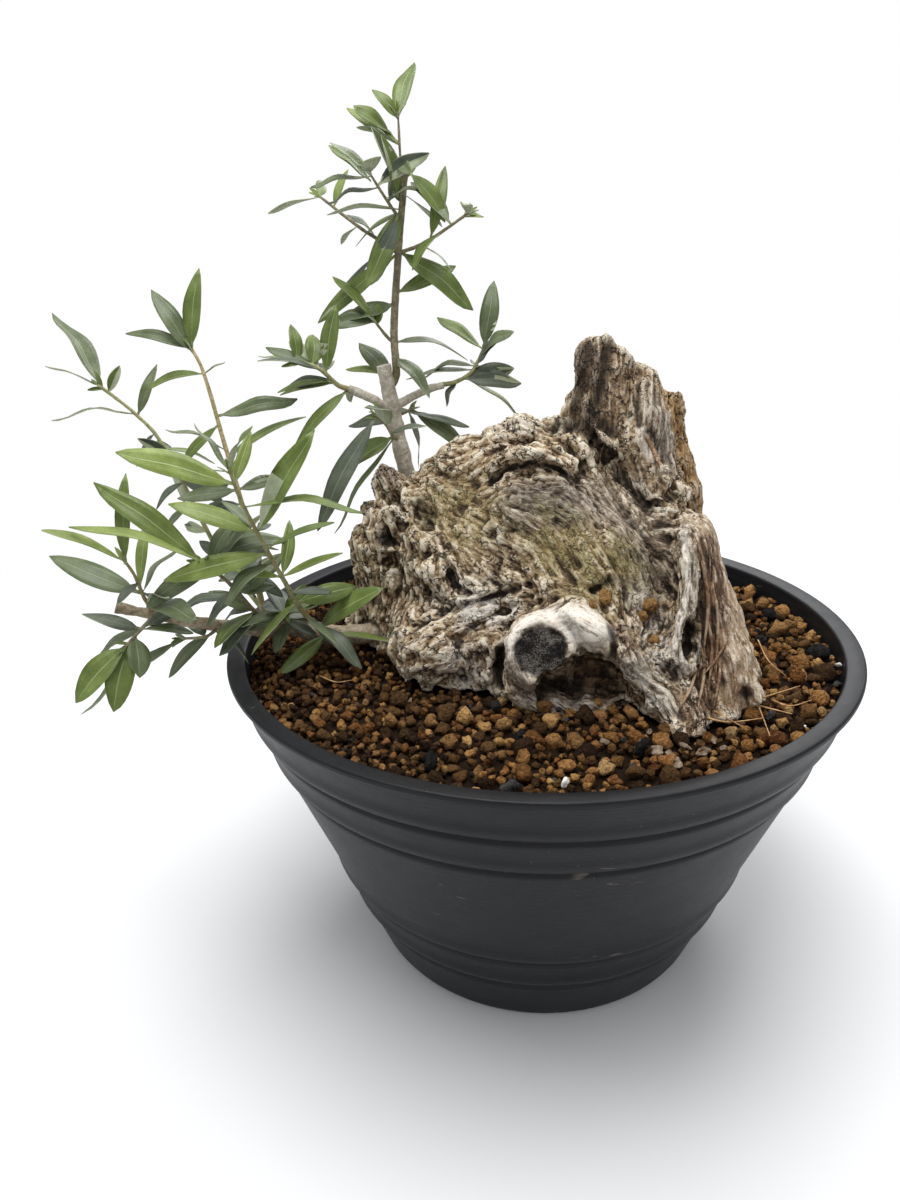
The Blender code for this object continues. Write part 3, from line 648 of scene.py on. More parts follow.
def make_bowl():
    bowl = new_object("bowl", turned(pot_profile(), BOWL_SEGMENTS), plastic_finish())
    holes = bmesh.new()
    for index in range(DRAIN_HOLES):
        angle = math.tau * (index + 0.5) / DRAIN_HOLES
        place = Matrix.Translation((DRAIN_CIRCLE * math.cos(angle), DRAIN_CIRCLE * math.sin(angle), WALL / 2))
        bmesh.ops.create_cone(holes, cap_ends=True, segments=32, radius1=DRAIN_RADIUS, radius2=DRAIN_RADIUS,
                              depth=WALL * 3, matrix=place)
    cutter = new_object("drains", holes)
    cut = bowl.modifiers.new("drains", "BOOLEAN")
    cut.operation = "DIFFERENCE"
    cut.object = cutter
    apply_modifiers(bowl)
    bpy.data.objects.remove(cutter, do_unlink=True)
    smooth(bowl, 32)
    return piece(bowl, "pot", "pot")


# Stump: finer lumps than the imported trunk's, as chains of balls (x, y, z, radius) joined by necks
STUMP_LUMPS = {
    "arch": ((-3, -58, 166, 9), (9, -61, 174, 7.5), (24, -60, 168, 7.5), (34, -64, 156, 7.5), (42, -69, 145, 8.5)),
    "wound": ((-4, -50, 162, 13), (-5, -54, 163, 12.5)),
    "knob_side": ((-14, -55, 162, 5.5), (-14, -57, 152, 5), (-12, -58, 143, 5)),
    "lower_lip": ((-12, -57, 143, 6), (8, -59, 140, 5.5), (24, -58, 139, 6)),
    "bone": ((51, -45, 201, 1.6), (53, -56, 190, 2.7), (50, -62, 178, 2.8), (44, -68, 166, 2.6), (47, -71, 160, 2.8)),
    "bone_fork": ((54, -62, 174, 1.8), (53, -67, 165, 1.6)),
    "ridge": ((57, -38, 198, 1.6), (61, -48, 186, 3.4), (66, -59, 166, 4.8), (72, -71, 146, 5.2)),
    "tongue": ((19, -10, 239, 2.0), (24, -14, 236, 2.6), (29, -17, 230, 2.0)),
    "peg": ((38, -15, 238, 1.5), (43, -18, 229, 1.5), (48, -19, 222, 0.9)),
    "stub": ((-61, 8, 208, 4.2), (-65, 10, 219, 2.6)),
    "spire_top": ((17, 0, 261, 3.4), (21, 1, 268, 3.0), (26, 0, 271, 2.6), (31, 1, 266, 3.4), (36, 0, 261, 2.6)),
    "slab": ((59, 10, 246, 2.6), (61, 13, 230, 3.4), (66, 14, 210, 4.2), (70, 13, 199, 3.6), (72, 13, 193, 2.4)),
}
# Marks drawn on the stump: points (pixels of the photo, or x, y, z), half width, height (below 0 it
# cuts in), ring radius (0 for a line), and a tint with its strength
Mark = namedtuple("Mark", "points width height ring tint strength")
# The darkest tint, on marks that cut in, is painted shade in those folds, holes and cracks; over the eye it only
# darkens the wood
STUMP_MARKS = {
    "crevice": Mark(((500, 650), (497, 668), (500, 684), (507, 700)), 2.6, -8, 0, "shade_and_dark", 1.0),
    "left_hole": Mark(((384, 538), (389, 543)), 3.6, -9, 0, "shade_and_dark", 1.0),
    "left_recess": Mark(((421, 509), (428, 522)), 5.0, -4, 0, "shade_and_dark", 0.55),
    "left_gully": Mark(((392, 500), (402, 530), (412, 560)), 3.5, -2.5, 0, "shade_and_dark", 0.3),
    "stub_top": Mark(((384, 470), (392, 474)), 4.5, 0, 0, "umber", 0.9),
    "brow_fold": Mark(((492, 480), (508, 468), (533, 463), (558, 469), (578, 485)), 2.2, -3.2, 0, "shade_and_dark", 0.75),
    "brow_ridge": Mark(((498, 467), (520, 455), (548, 456), (572, 466)), 3.2, 1.6, 0, None, 0),
    "swirl_fold": Mark(((586, 432), (606, 457), (627, 484), (646, 506), (673, 497)), 2.6, -3.5, 0, "shade_and_dark", 0.7),
    "eye_ring_one": Mark(((546, 492),), 0.8, -1.1, 2.8, "shade_and_dark", 0.6),
    "eye_ring_two": Mark(((545, 492),), 0.8, -1.1, 5.4, "shade_and_dark", 0.5),
    "eye_ring_three": Mark(((544, 494),), 0.8, -1.2, 8.2, "shade_and_dark", 0.5),
    "eye_ring_four": Mark(((544, 496),), 0.8, -0.9, 11.2, "shade_and_dark", 0.35),
    "tongue_gap": Mark(((586, 434), (598, 442), (612, 456)), 2.4, -3.0, 0, "shade_and_dark", 0.8),
    "under_tongue": Mark(((612, 450), (628, 470), (640, 492)), 6.0, -1.5, 0, "shade_and_dark", 0.35),
    "swirl_inner": Mark(((600, 462), (612, 490), (628, 520), (650, 545)), 2.0, -1.6, 0, "shade_and_dark", 0.35),
    "inner_ring": Mark(((492, 535),), 1.7, 1.5, 3.4, "pale", 0.3),
    "inner_ring_pit": Mark(((492, 535),), 2.6, -1.8, 0, "umber", 0.5),
    "burl_crack": Mark(((451, 574), (457, 586), (470, 594)), 1.5, -2.4, 0, "shade_and_dark", 0.8),
    "long_crack": Mark(((481, 601), (496, 595), (512, 589), (530, 583)), 1.4, -2.2, 0, "shade_and_dark", 0.8),
    "shelf_crack": Mark(((428, 625), (446, 612), (468, 604), (494, 601)), 1.8, -2.2, 0, "shade_and_dark", 0.6),
    "notch": Mark(((593, 590), (604, 584), (612, 580)), 1.6, -2.0, 0, "shade_and_dark", 0.8),
    "burl_swell": Mark(((430, 650), (455, 640), (478, 625)), 9.0, 2.4, 0, None, 0),
    "arch_skin": Mark(((512, 640), (520, 624), (540, 614), (566, 611), (592, 617), (606, 632)), 5.0, 0.6, 0,
                      "pale", 1.0),
    "arch_face": Mark(((572, 630), (592, 636)), 7.0, 0.5, 0, "pale", 1.0),
    "arch_end": Mark(((610, 628), (614, 642), (612, 656)), 1.6, -1.8, 0, "shade_and_dark", 0.9),
    "cracked_bark": Mark(((618, 628), (628, 640), (636, 654)), 4.0, 0.8, 0, "umber", 0.7),
    "arch_foot": Mark(((636, 660), (652, 684), (668, 706)), 3.6, 1.0, 0, "bone", 0.8),
    "panel_line": Mark(((612, 662), (632, 684), (656, 704)), 0.9, -1.4, 0, "shade_and_dark", 0.7),
    "panel_line_low": Mark(((606, 670), (622, 692), (646, 710)), 0.9, -1.2, 0, "shade_and_dark", 0.6),
    "knob_side": Mark(((512, 650), (516, 672), (526, 692)), 4.6, 0.8, 0, "silver", 1.0),
    "knob_lip": Mark(((528, 698), (550, 704), (580, 704), (604, 700)), 4.6, 0.8, 0, "silver", 1.0),
    "socket_line": Mark(((566, 664), (580, 656), (600, 656)), 1.4, -1.6, 0, "shade_and_dark", 0.7),
    "hollow": Mark(((586, 670), (598, 676), (606, 690)), 7.0, -6, 0, "umber", 0.95),
    "hollow_deep": Mark(((546, 688), (560, 684), (574, 690)), 4.6, -9, 0, "shade_and_dark", 0.95),
    "small_burl": Mark(((577, 684),), 0.9, 1.8, 2.4, "silver", 0.8),
    "small_burl_heart": Mark(((577, 684),), 1.4, 2.0, 0, "silver", 0.6),
    "bone_skin": Mark(((684, 526), (690, 556), (692, 590), (685, 615), (677, 640), (683, 665)), 3.4, 0.5, 0,
                      "bone", 1.0),
    # Painted highlight along the bone's left edge
    "bone_highlight": Mark(((682, 530), (686, 556), (687, 590), (680, 615), (672, 650)), 1.6, 0.5, 0, "pale", 0.7),
    "second_bone": Mark(((700, 640), (697, 655), (694, 670)), 1.8, 1.2, 0, "bone", 0.9),
    "bone_hole": Mark(((692, 626), (689, 640), (690, 650)), 2.6, -7, 0, "shade_and_dark", 1.0),
    "bone_edge": Mark(((702, 548), (704, 580), (703, 612), (699, 650)), 1.6, -2.2, 0, "shade_and_dark", 0.6),
    "fibre_face": Mark(((706, 552), (712, 590), (710, 630), (706, 672), (700, 712)), 7.5, -1.0, 0, "rust", 0.9),
    "ridge_skin": Mark(((698, 520), (714, 545), (732, 600), (750, 655), (764, 708)), 9.0, 0.3, 0, "tan", 1.0),
    "ridge_face": Mark(((722, 590), (732, 640), (740, 690)), 8.0, 0, 0, "tan", 1.0),
    "ridge_notch": Mark(((746, 694), (749, 708), (750, 716)), 2.8, -6, 0, "shade_and_dark", 0.9),
    "right_body": Mark(((640, 640), (655, 655), (668, 680)), 5.0, -1.6, 0, "shade_and_dark", 0.2),
    "rough_valley": Mark(((655, 560), (662, 590), (655, 620)), 5.0, -1.8, 0, "shade_and_dark", 0.25),
    "spire_streak": Mark(((588, 348), (583, 372), (576, 400), (572, 425)), 3.2, -1.0, 0, "shade_and_dark", 0.8),
    "spire_streak_two": Mark(((606, 348), (604, 375), (594, 405), (588, 425)), 2.6, -1.2, 0, "shade_and_dark", 0.85),
    "spire_foot": Mark(((556, 428), (580, 424), (604, 430)), 4.5, -1.6, 0, "shade_and_dark", 0.75),
    "spire_crust": Mark(((585, 350), (600, 380), (598, 410)), 10.0, 0, 0, "cork", 1.0),
    "spire_tan": Mark(((622, 342), (630, 372), (622, 405)), 6.0, 0, 0, "cork", 0.7),
    "spire_silver": Mark(((660, 378), (662, 410), (668, 450)), 10.0, 0, 0, "silver", 0.9),
    "spire_crack": Mark(((640, 372), (636, 400), (640, 425)), 1.2, -2.0, 0, "shade_and_dark", 0.6),
    "peg_skin": Mark(((641, 430), (650, 450), (660, 470)), 2.6, 0, 0, "pale", 0.7),
    "peg_shade": Mark(((650, 432), (662, 452), (672, 474)), 2.0, -2.2, 0, "shade_and_dark", 0.5),
    "slab_skin": Mark(((55, 8, 248), (61, 13, 230), (66, 14, 208), (72, 14, 194)), 9.0, 0, 0, "gold", 1.0),
    "moss_left": Mark(((438, 505), (462, 500), (488, 512), (470, 530)), 11.0, 0, 0, "moss", 0.75),
    "moss_middle": Mark(((556, 535), (572, 556), (600, 572), (622, 562)), 13.0, 0, 0, "moss", 1.0),
    "eye_skin": Mark(((528, 490), (546, 492), (564, 494)), 12.0, 0, 0, "shade_and_dark", 0.34),
    "moss_low": Mark(((575, 585), (600, 592)), 8.0, 0, 0, "moss", 0.8),
    "silver_middle": Mark(((528, 498), (560, 505), (600, 500), (630, 530), (645, 570)), 11.0, 0, 0, "silver", 0.85),
    "silver_right": Mark(((640, 500), (660, 530), (664, 570)), 8.0, 0, 0, "silver", 0.6),
    "pale_patch": Mark(((474, 612), (490, 607), (508, 616)), 6.5, 0.6, 0, "chalk", 0.95),
    "pale_patch_low": Mark(((460, 660), (472, 684), (494, 700)), 7.0, 0, 0, "chalk", 0.75),
    "pale_burl": Mark(((440, 600), (460, 590), (490, 588)), 6.0, 0, 0, "chalk", 0.5),
    "pale_crest": Mark(((480, 430), (505, 424), (530, 425)), 6.0, 0, 0, "chalk", 0.5),
    "pale_flank": Mark(((640, 600), (655, 630), (664, 665)), 6.5, 0, 0, "chalk", 0.7),
    "pale_panel": Mark(((622, 668), (640, 686), (660, 702)), 5.0, 0, 0, "chalk", 0.7),
}
# Which way the wood's fibres run: a pixel of the photo, and the run there, right and down
GRAIN = (
    ((600, 380), (-0.05, 1.0)), ((585, 410), (-0.3, 1.0)), ((640, 390), (0.1, 1.0)), ((665, 385), (-0.45, 1.0)),
    ((658, 430), (0.1, 1.0)), ((674, 470), (0.3, 1.0)), ((480, 430), (-0.5, 0.6)), ((530, 440), (0.5, 0.3)),
    ((500, 476), (1.0, -0.7)), ((540, 480), (1.0, 0.1)), ((580, 490), (0.5, 0.9)), ((610, 470), (0.5, 0.9)),
    ((640, 520), (0.6, 0.9)), ((665, 525), (1.0, -0.1)), ((560, 560), (0.6, 0.8)), ((500, 540), (0.9, 0.5)),
    ((450, 520), (0.5, 0.8)), ((430, 570), (0.3, 1.0)), ((370, 560), (-0.1, 1.0)), ((400, 610), (-0.5, 0.9)),
    ((430, 650), (1.0, -0.6)), ((470, 620), (1.0, -0.5)), ((490, 665), (0.3, 1.0)), ((511, 650), (0.05, 1.0)),
    ((522, 622), (1.0, -0.6)), ((555, 612), (1.0, 0.0)), ((592, 620), (0.9, 0.5)), ((618, 650), (0.6, 0.9)),
    ((650, 690), (0.8, 0.6)), ((640, 600), (0.3, 1.0)), ((660, 640), (0.2, 1.0)), ((692, 560), (0.05, 1.0)),
    ((712, 600), (0.1, 1.0)), ((735, 640), (0.3, 1.0)), ((755, 690), (0.35, 1.0)), ((700, 700), (-0.15, 1.0)),
    ((590, 690), (1.0, 0.2)), ((540, 705), (1.0, 0.2)),
)
TINTS = ("shade_and_dark", "pale", "chalk", "bone", "silver", "umber", "moss", "tan", "rust", "gold", "cork", "char")
RUN_WAYS = 6             # fibre directions that the finish draws, evenly turned in the camera's plane
WOUND_SPOT = (541, 651)
WOUND_RADIUS = 9.9
COARSE_VOXEL = 1.5
FINE_VOXEL = 0.82
STUMP_TRIANGLES = 192_000
CAVITIES = ((4, 0.26, 0.28), (24, 0.9, 0.42), (110, 2.4, 0.30))     # steps, height of a full hollow, share


def add_chain(bm, balls, fineness=3, sides=20):
    """Balls (x, y, z, radius) joined by tapering necks."""
    for ball in balls:
        bmesh.ops.create_icosphere(bm, subdivisions=fineness, radius=ball[3],
                                   matrix=Matrix.Translation(ball[:3]))
    for start, end in zip(balls, balls[1:]):
        low, high = Vector(start[:3]), Vector(end[:3])
        turn = (high - low).to_track_quat("Z", "Y").to_matrix().to_4x4()
        bmesh.ops.create_cone(bm, cap_ends=True, segments=sides, radius1=start[3], radius2=end[3],
                              depth=(high - low).length, matrix=Matrix.Translation((low + high) / 2) @ turn)


def line_distance(points, route):
    """How far each point lies from a line through the route's points."""
    best = np.full(len(points), 1e9)
    if len(route) == 1:
        return np.linalg.norm(points - route[0], axis=1)
    for start, end in zip(route, route[1:]):
        along = end - start
        part = np.clip(((points - start) @ along) / (along @ along), 0, 1)
        best = np.minimum(best, np.linalg.norm(points - start - part[:, None] * along, axis=1))
    return best


def on_wood(tree, spot):
    """A mark's point on the wood: a photo pixel is thrown on it through the camera."""
    if len(spot) == 3:
        return np.array(spot, float)
    hit = tree.ray_cast(CAMERA_SPOT, sight(spot))[0]
    return None if hit is None else np.array(hit)


def tree_of(mesh):
    """A search tree of a mesh's faces, in millimetres."""
    mesh.calc_loop_triangles()
    points = [vert.co / MM for vert in mesh.vertices]
    return BVHTree.FromPolygons(points, [tuple(face.vertices) for face in mesh.loop_triangles])


def marked(tree, points):
    """Each mark with its weight at each point: (mark, weight)."""
    for mark in STUMP_MARKS.values():
        route = [on_wood(tree, spot) for spot in mark.points]
        route = [spot for spot in route if spot is not None]
        if not route:
            continue
        away = line_distance(points, route)
        if mark.ring:
            away = np.abs(away - mark.ring)
        yield mark, away


def tints_of(tree, points, wound=None):
    """How strongly each tint shows at each point, 0 to 1."""
    tints = {name: np.zeros(len(points)) for name in TINTS}
    blot = rugged(points, 5.0, 3, 71)
    for mark, away in marked(tree, points):
        if mark.tint:
            part = np.clip(away * (1 + 0.35 * blot) / (1.5 * mark.width), 0, 1)
            tints[mark.tint] = np.maximum(tints[mark.tint], mark.strength * (1 - part * part) ** 1.5)
    if wound:
        radius, height = wound_place(points, wound)
        char = rise(radius + 0.13 * blot, 1.04, 0.94) * (np.abs(height) < 6)
        tints["char"] = char
        above = rise((points - wound[0]) @ UP / WOUND_RADIUS, -0.35, 0.25)
        tints["pale"] = np.maximum(tints["pale"] * (1 - char), 0.75 * rise(radius, 1.38, 1.2) * (1 - char)
                                   * (np.abs(height) < 8) * above)
    return tints


def calm_of(points, tints):
    """Where the old wood is worn smooth, 0 to 1."""
    socket = np.maximum(tints["umber"], tints["shade_and_dark"]) * rise(points[:, 2], 172, 166) * (points[:, 1] < -35)
    return np.clip(np.maximum.reduce([tints["pale"], tints["bone"], tints["tan"], 0.75 * tints["silver"],
                                      tints["char"], socket, 0.9 * tints["rust"], tints["gold"],
                                      0.4 * tints["moss"], 0.7 * tints["cork"]]), 0, 1)


def folded(points, size, seed):
    """Rounded lumps between sharp creases, about -1 to 1."""
    return 2.2 * np.abs(swell(points, size, seed)) - 1


def crested(points, size, seed):
    """Sharp crests between rounded hollows, about -1 to 1."""
    return 1 - 2.2 * np.abs(swell(points, size, seed))


def warped(points, size, reach, seed):
    return points + reach * np.stack([swell(points, size, seed + axis) for axis in range(3)], 1)


def knot_up(mesh, tree):
    """The knobs, ropes and pits of the gnarled wood, away from its smooth parts."""
    points = read_points(mesh)
    rope = 1 - 2.2 * np.abs(fibres(points, grain_field(tree), 4.6, 26.0, 23))
    normals = spread(read_normals(mesh), read_edges(mesh), 2)
    normals /= np.linalg.norm(normals, axis=1)[:, None]
    calm = calm_of(points, tints_of(tree, points))
    calm = spread(calm[:, None], read_edges(mesh), 4)[:, 0]
    bent = warped(points, 16.0, 6.0, 91)
    torn = rise(swell(points, 24.0, 46), -0.35, 0.25)
    push = 3.2 * folded(bent, 17.0, 3) + (0.3 + 0.7 * torn) * crested(bent, 9.0, 13)
    push += (0.45 + 0.95 * torn) * rope - 3.4 * torn * rise(swell(bent, 8.0, 33), 0.55, 1.0)
    upright = rise(points[:, 2], 222, 236) * rise(points[:, 0], 4, 12)
    strength = (1 - 0.93 * calm) * (1 - 0.55 * upright)
    write_points(mesh, points + normals * (push * strength)[:, None])


def press_marks(mesh, tree):
    points, normals = read_points(mesh), read_normals(mesh)
    move = np.zeros(len(points))
    wander = rugged(points, 6.0, 2, 5)
    for mark, away in marked(tree, points):
        if mark.height:
            part = np.clip(away * (1 + 0.25 * wander) / (1.6 * mark.width), 0, 1)
            move += mark.height * (1 - part * part) ** 2
    write_points(mesh, points + normals * move[:, None])


def wound_place(points, wound):
    """Each point's distance from the sawn knot's middle, 1 at its edge, and its height over its face."""
    middle, facing = wound
    offset = points - middle
    height = offset @ facing
    return np.linalg.norm(offset - height[:, None] * facing, axis=1) / WOUND_RADIUS, height


def cut_wound(mesh, wound):
    """The sawn knot: a flat face with a low rolled lip of new wood round it."""
    points = read_points(mesh)
    radius, height = wound_place(points, wound)
    rim = 0.9 * np.exp(-((radius - 1.14) / 0.16) ** 2) - 0.5 * rise(radius, 1.0, 0.85)
    fall = -7.0 * rise(radius, 1.15, 2.1) ** 1.3
    weight = rise(radius, 1.75, 1.25) * (np.abs(height) < 12)
    points += (weight * (rim + fall - height))[:, None] * wound[1]
    write_points(mesh, points)


def grain_field(tree):
    spots, runs = [], []
    for pixel, (right, down) in GRAIN:
        spot, normal = tree.ray_cast(CAMERA_SPOT, sight(pixel))[:2]
        if spot is None:
            continue
        run = RIGHT * right - UP * down
        run -= normal * run.dot(normal)
        spots.append(spot)
        runs.append(run.normalized())
    spots += [Vector(spot) for spot in ((-30, 45, 180), (30, 50, 170), (60, 25, 190), (-60, 30, 160))]
    runs += [Vector((0.1, 0.1, -1)).normalized()] * 4
    return np.array(spots), np.array(runs)


def run_at(points, field):
    """The direction of the wood's fibres at each point."""
    spots, runs = field
    total = np.zeros_like(points)
    for spot, run in zip(spots, runs):
        weight = 1 / (((points - spot) ** 2).sum(1) + 9.0) ** 2
        total += weight[:, None] * run
    total += 0.25 * np.linalg.norm(total, axis=1)[:, None] * np.stack(
        [swell(points, 9.0, 61), swell(points, 9.0, 62), swell(points, 9.0, 63)], 1)
    return total / (np.linalg.norm(total, axis=1)[:, None] + 1e-9)


def fibres(points, field, size, length, seed, steps=7):
    """Noise drawn out along the wood's fibres, about -1 to 1."""
    total = swell(points, size, seed)
    for way in (1, -1):
        spots = points.copy()
        for _ in range(steps):
            spots = spots + way * run_at(spots, field) * (length / steps / 2)
            total += swell(spots, size, seed)
    return total / (2 * steps + 1) ** 0.5 / 0.75


def carve_fine(mesh, tree, field, wound):
    """The fine relief of the old wood, and the notes that its finish reads."""
    points, edges = read_points(mesh), read_edges(mesh)
    normals = spread(read_normals(mesh), edges, 3)
    normals /= np.linalg.norm(normals, axis=1)[:, None]
    tints = tints_of(tree, points, wound)
    calm = calm_of(points, tints)
    wild = 1 - calm
    char = tints["char"]
    strand = fibres(points, field, 1.5, 11.0, 11)
    furrow = fibres(points, field, 3.8, 22.0, 21)
    torn = rise(swell(points, 13.0, 45), -0.25, 0.45)
    crack = (1 - rise(np.abs(furrow), 0.0, 0.14)) * torn
    bent = warped(points, 6.0, 2.2, 31)
    inside, number = plates(bent, 3.4, 7)
    flake = rise(inside, 0.0, 0.7) * (number - 0.2)
    bumps = folded(bent, 3.4, 41) + 0.6 * crested(bent, 2.1, 42)
    grit = rugged(points, 1.7, 2, 51)
    split = np.maximum.reduce([tints["rust"], tints["gold"], 0.6 * tints["silver"]])
    bone = 0.5 * tints["bone"]
    relief = (wild * ((0.12 + 0.5 * torn) * flake + 0.45 * furrow - 1.1 * crack + 0.22 * grit)
              + (0.12 + 0.30 * wild + 0.45 * split + bone) * strand * (1 - char)
              - 0.8 * split * crack - 0.3 * calm * crack * (1 - char)
              + char * (0.30 * grit + 0.25 * bumps))
    points = points + normals * relief[:, None]
    write_points(mesh, points)
    normals = spread(read_normals(mesh), edges, 2)
    normals /= np.linalg.norm(normals, axis=1)[:, None]
    # How deep each point lies in a hollow, noted as depth: the finish paints shade into the hollows and highlights
    # onto the crests from it
    hollow = np.zeros(len(points))
    even, done = points, 0
    for times, reach, share in CAVITIES:
        even = spread(even, edges, times - done)
        done = times
        hollow += share * rise(((even - points) * normals).sum(1), -reach, reach)
    note(mesh, "depth", hollow)
    note(mesh, "crack", crack * (0.35 + 0.65 * wild))
    note(mesh, "strand", 0.5 + 0.4 * strand)
    note(mesh, "flake", number)
    for name, values in tints.items():
        note(mesh, name, values)
    run = run_at(points, field)
    angle = np.arctan2(-run @ np.array(UP), run @ np.array(RIGHT))
    for index in range(RUN_WAYS):
        off = (angle - index * math.pi / RUN_WAYS + math.pi / 2) % math.pi - math.pi / 2
        note(mesh, "run_%d" % index, np.clip(1 - np.abs(off) * RUN_WAYS / math.pi, 0, 1))


def old_wood_finish():
    """Weathered wood: cream flakes, painted shade in hollows and cracks, painted crest highlights; silver, moss, rust
    and char where they lie.
    """
    finish = Finish("old_wood", Roughness=0.9)
    finish.shader.inputs["Specular IOR Level"].default_value = 0.25
    place = finish.place()
    tint = {name: finish.attribute(name) for name in TINTS}
    depth, crack = finish.attribute("depth"), finish.attribute("crack")
    strand, flake = finish.attribute("strand"), finish.attribute("flake")
    micro = finish.noise(place, 0.62, 3.0, 0.7)
    fine = finish.noise(place, 1.5, 4.0, 0.65)
    mottle = finish.noise(place, 7.0, 4.0, 0.6)
    fibre = finish.noise(finish.stretched(place, 1.0, 1.0, 0.09), 0.7, 3.0, 0.6)
    runs = [finish.attribute("run_%d" % index) for index in range(RUN_WAYS)]
    threads = [finish.noise(finish.drawn(place, RIGHT * math.cos(index * math.pi / RUN_WAYS)
                                         - UP * math.sin(index * math.pi / RUN_WAYS), 8.0), 1.0, 3.0, 0.65)
               for index in range(RUN_WAYS)]
    thread = sum(run * line for run, line in zip(runs[1:], threads[1:])) + runs[0] * threads[0]
    thread = (thread - 0.5) * (finish.noise(place, 5.0, 2.0, 0.5).step(0.36, 0.60) * 1.1 + 0.5) + 0.5
    drift = finish.node("ShaderNodeTexNoise", None, {"Vector": place, "Scale": 0.28, "Detail": 3.0}, out="Color")
    drift = finish.node("ShaderNodeVectorMath", {"operation": "SCALE"}, {0: drift, "Scale": 9.0})
    drift = finish.node("ShaderNodeVectorMath", {"operation": "ADD"}, {0: place, 1: drift})
    gap = finish.cells(drift, 4.6, "DISTANCE_TO_EDGE").step(0.09, 0.02)
    gap = gap * finish.noise(place, 3.4, 2.0, 0.5).step(0.44, 0.56)
    # Painted highlight: the crests, where the depth note is low, are made lighter in tone
    crest_highlight = depth.step(0.5, 0.12)
    tone = flake * 0.08 + strand * 0.12 + fine * 0.22 + mottle * 0.28 + crest_highlight * 0.10 + thread * 0.24
    colour = finish.ramp(tone, (0.38, srgb(108, 85, 61)), (0.46, srgb(164, 139, 107)),
                         (0.54, srgb(208, 187, 154)), (0.64, srgb(252, 242, 221)))
    silver = finish.ramp(strand * 0.15 + thread * 0.55 + fine * 0.3, (0.38, srgb(92, 81, 74)),
                         (0.5, srgb(146, 133, 123)), (0.62, srgb(206, 197, 186)))
    colour = finish.colour(colour, silver, tint["silver"] * 0.85)
    tan = finish.ramp(thread * 0.55 + strand * 0.1 + mottle * 0.35, (0.38, srgb(106, 85, 66)),
                      (0.5, srgb(162, 138, 112)), (0.62, srgb(216, 196, 170)))
    colour = finish.colour(colour, tan, tint["tan"] * 0.9)
    umber = finish.ramp(strand * 0.2 + fine * 0.35 + thread * 0.45, (0.40, srgb(66, 47, 36)),
                        (0.6, srgb(138, 108, 86)))
    colour = finish.colour(colour, umber, tint["umber"])
    rust = finish.ramp(fibre * 0.3 + thread * 0.4 + mottle * 0.1 + strand * 0.2, (0.38, srgb(38, 27, 20)),
                       (0.5, srgb(92, 64, 46)), (0.62, srgb(166, 126, 92)))
    colour = finish.colour(colour, rust, tint["rust"])
    gold = finish.ramp(fibre * 0.6 + mottle * 0.4, (0.36, srgb(122, 88, 52)), (0.5, srgb(186, 146, 92)),
                       (0.64, srgb(226, 194, 142)))
    colour = finish.colour(colour, gold, tint["gold"])
    cork = finish.ramp(fine * 0.4 + mottle * 0.3 + thread * 0.3, (0.40, srgb(56, 43, 34)),
                       (0.5, srgb(124, 99, 75)), (0.60, srgb(198, 166, 126)))
    colour = finish.colour(colour, cork, tint["cork"])
    bone = finish.ramp(strand * 0.2 + thread * 0.5 + fine * 0.3, (0.38, srgb(84, 72, 60)),
                       (0.5, srgb(152, 138, 120)), (0.60, srgb(230, 220, 205)))
    colour = finish.colour(colour, bone, tint["bone"])
    pale = finish.ramp(fine * 0.35 + thread * 0.45 + micro * 0.2, (0.36, srgb(150, 137, 122)),
                       (0.48, srgb(226, 218, 207)), (0.62, srgb(252, 249, 244)))
    colour = finish.colour(colour, pale, tint["pale"] * 0.95)
    colour = finish.colour(colour, pale, tint["chalk"] * (fine * 0.5 + mottle * 0.5).step(0.42, 0.54))
    # Painted highlight: cream streaks along the crests
    colour = finish.colour(colour, srgb(242, 231, 213), crest_highlight * thread.step(0.46, 0.62) * 0.6)
    colour = finish.colour(colour, srgb(40, 31, 25), thread.step(0.40, 0.32) * (1 - tint["pale"] * 0.6) * 0.6)
    smooth_wood = (tint["pale"] + tint["bone"] + tint["tan"] + tint["char"] + tint["silver"] * 0.6).step(0.0, 0.8)
    gap = gap * (1 - smooth_wood)
    colour = finish.colour(colour, srgb(30, 23, 18), gap * 0.9)
    specks = micro.step(0.60, 0.74) * (1 - tint["pale"] * 0.7)
    colour = finish.colour(colour, srgb(60, 48, 38), specks * 0.35)
    # Painted highlights: pale flecks, kept out of the hollows
    highlight_flecks = finish.noise(place, 0.9, 2.0, 0.6, 0.6).step(0.60, 0.68) * (1 - depth)
    colour = finish.colour(colour, srgb(244, 234, 216), highlight_flecks * 0.3)
    moss = finish.ramp(micro * 0.4 + fine * 0.25 + thread * 0.35, (0.40, srgb(76, 65, 38)),
                       (0.5, srgb(140, 126, 76)), (0.60, srgb(200, 188, 136)))
    colour = finish.colour(colour, moss, tint["moss"] * (mottle * 0.7 + fine * 0.3).step(0.32, 0.56) * 0.9)
    # Painted shade: dark brown in the hollows, by the depth note
    colour = finish.colour(colour, srgb(42, 31, 23), (depth + fine * 0.3 - 0.15).step(0.58, 1.04) * 0.9)
    # Painted shade down in the cracks that are carved into the wood
    colour = finish.colour(colour, srgb(34, 26, 21), crack.step(0.3, 0.9) * 0.7)
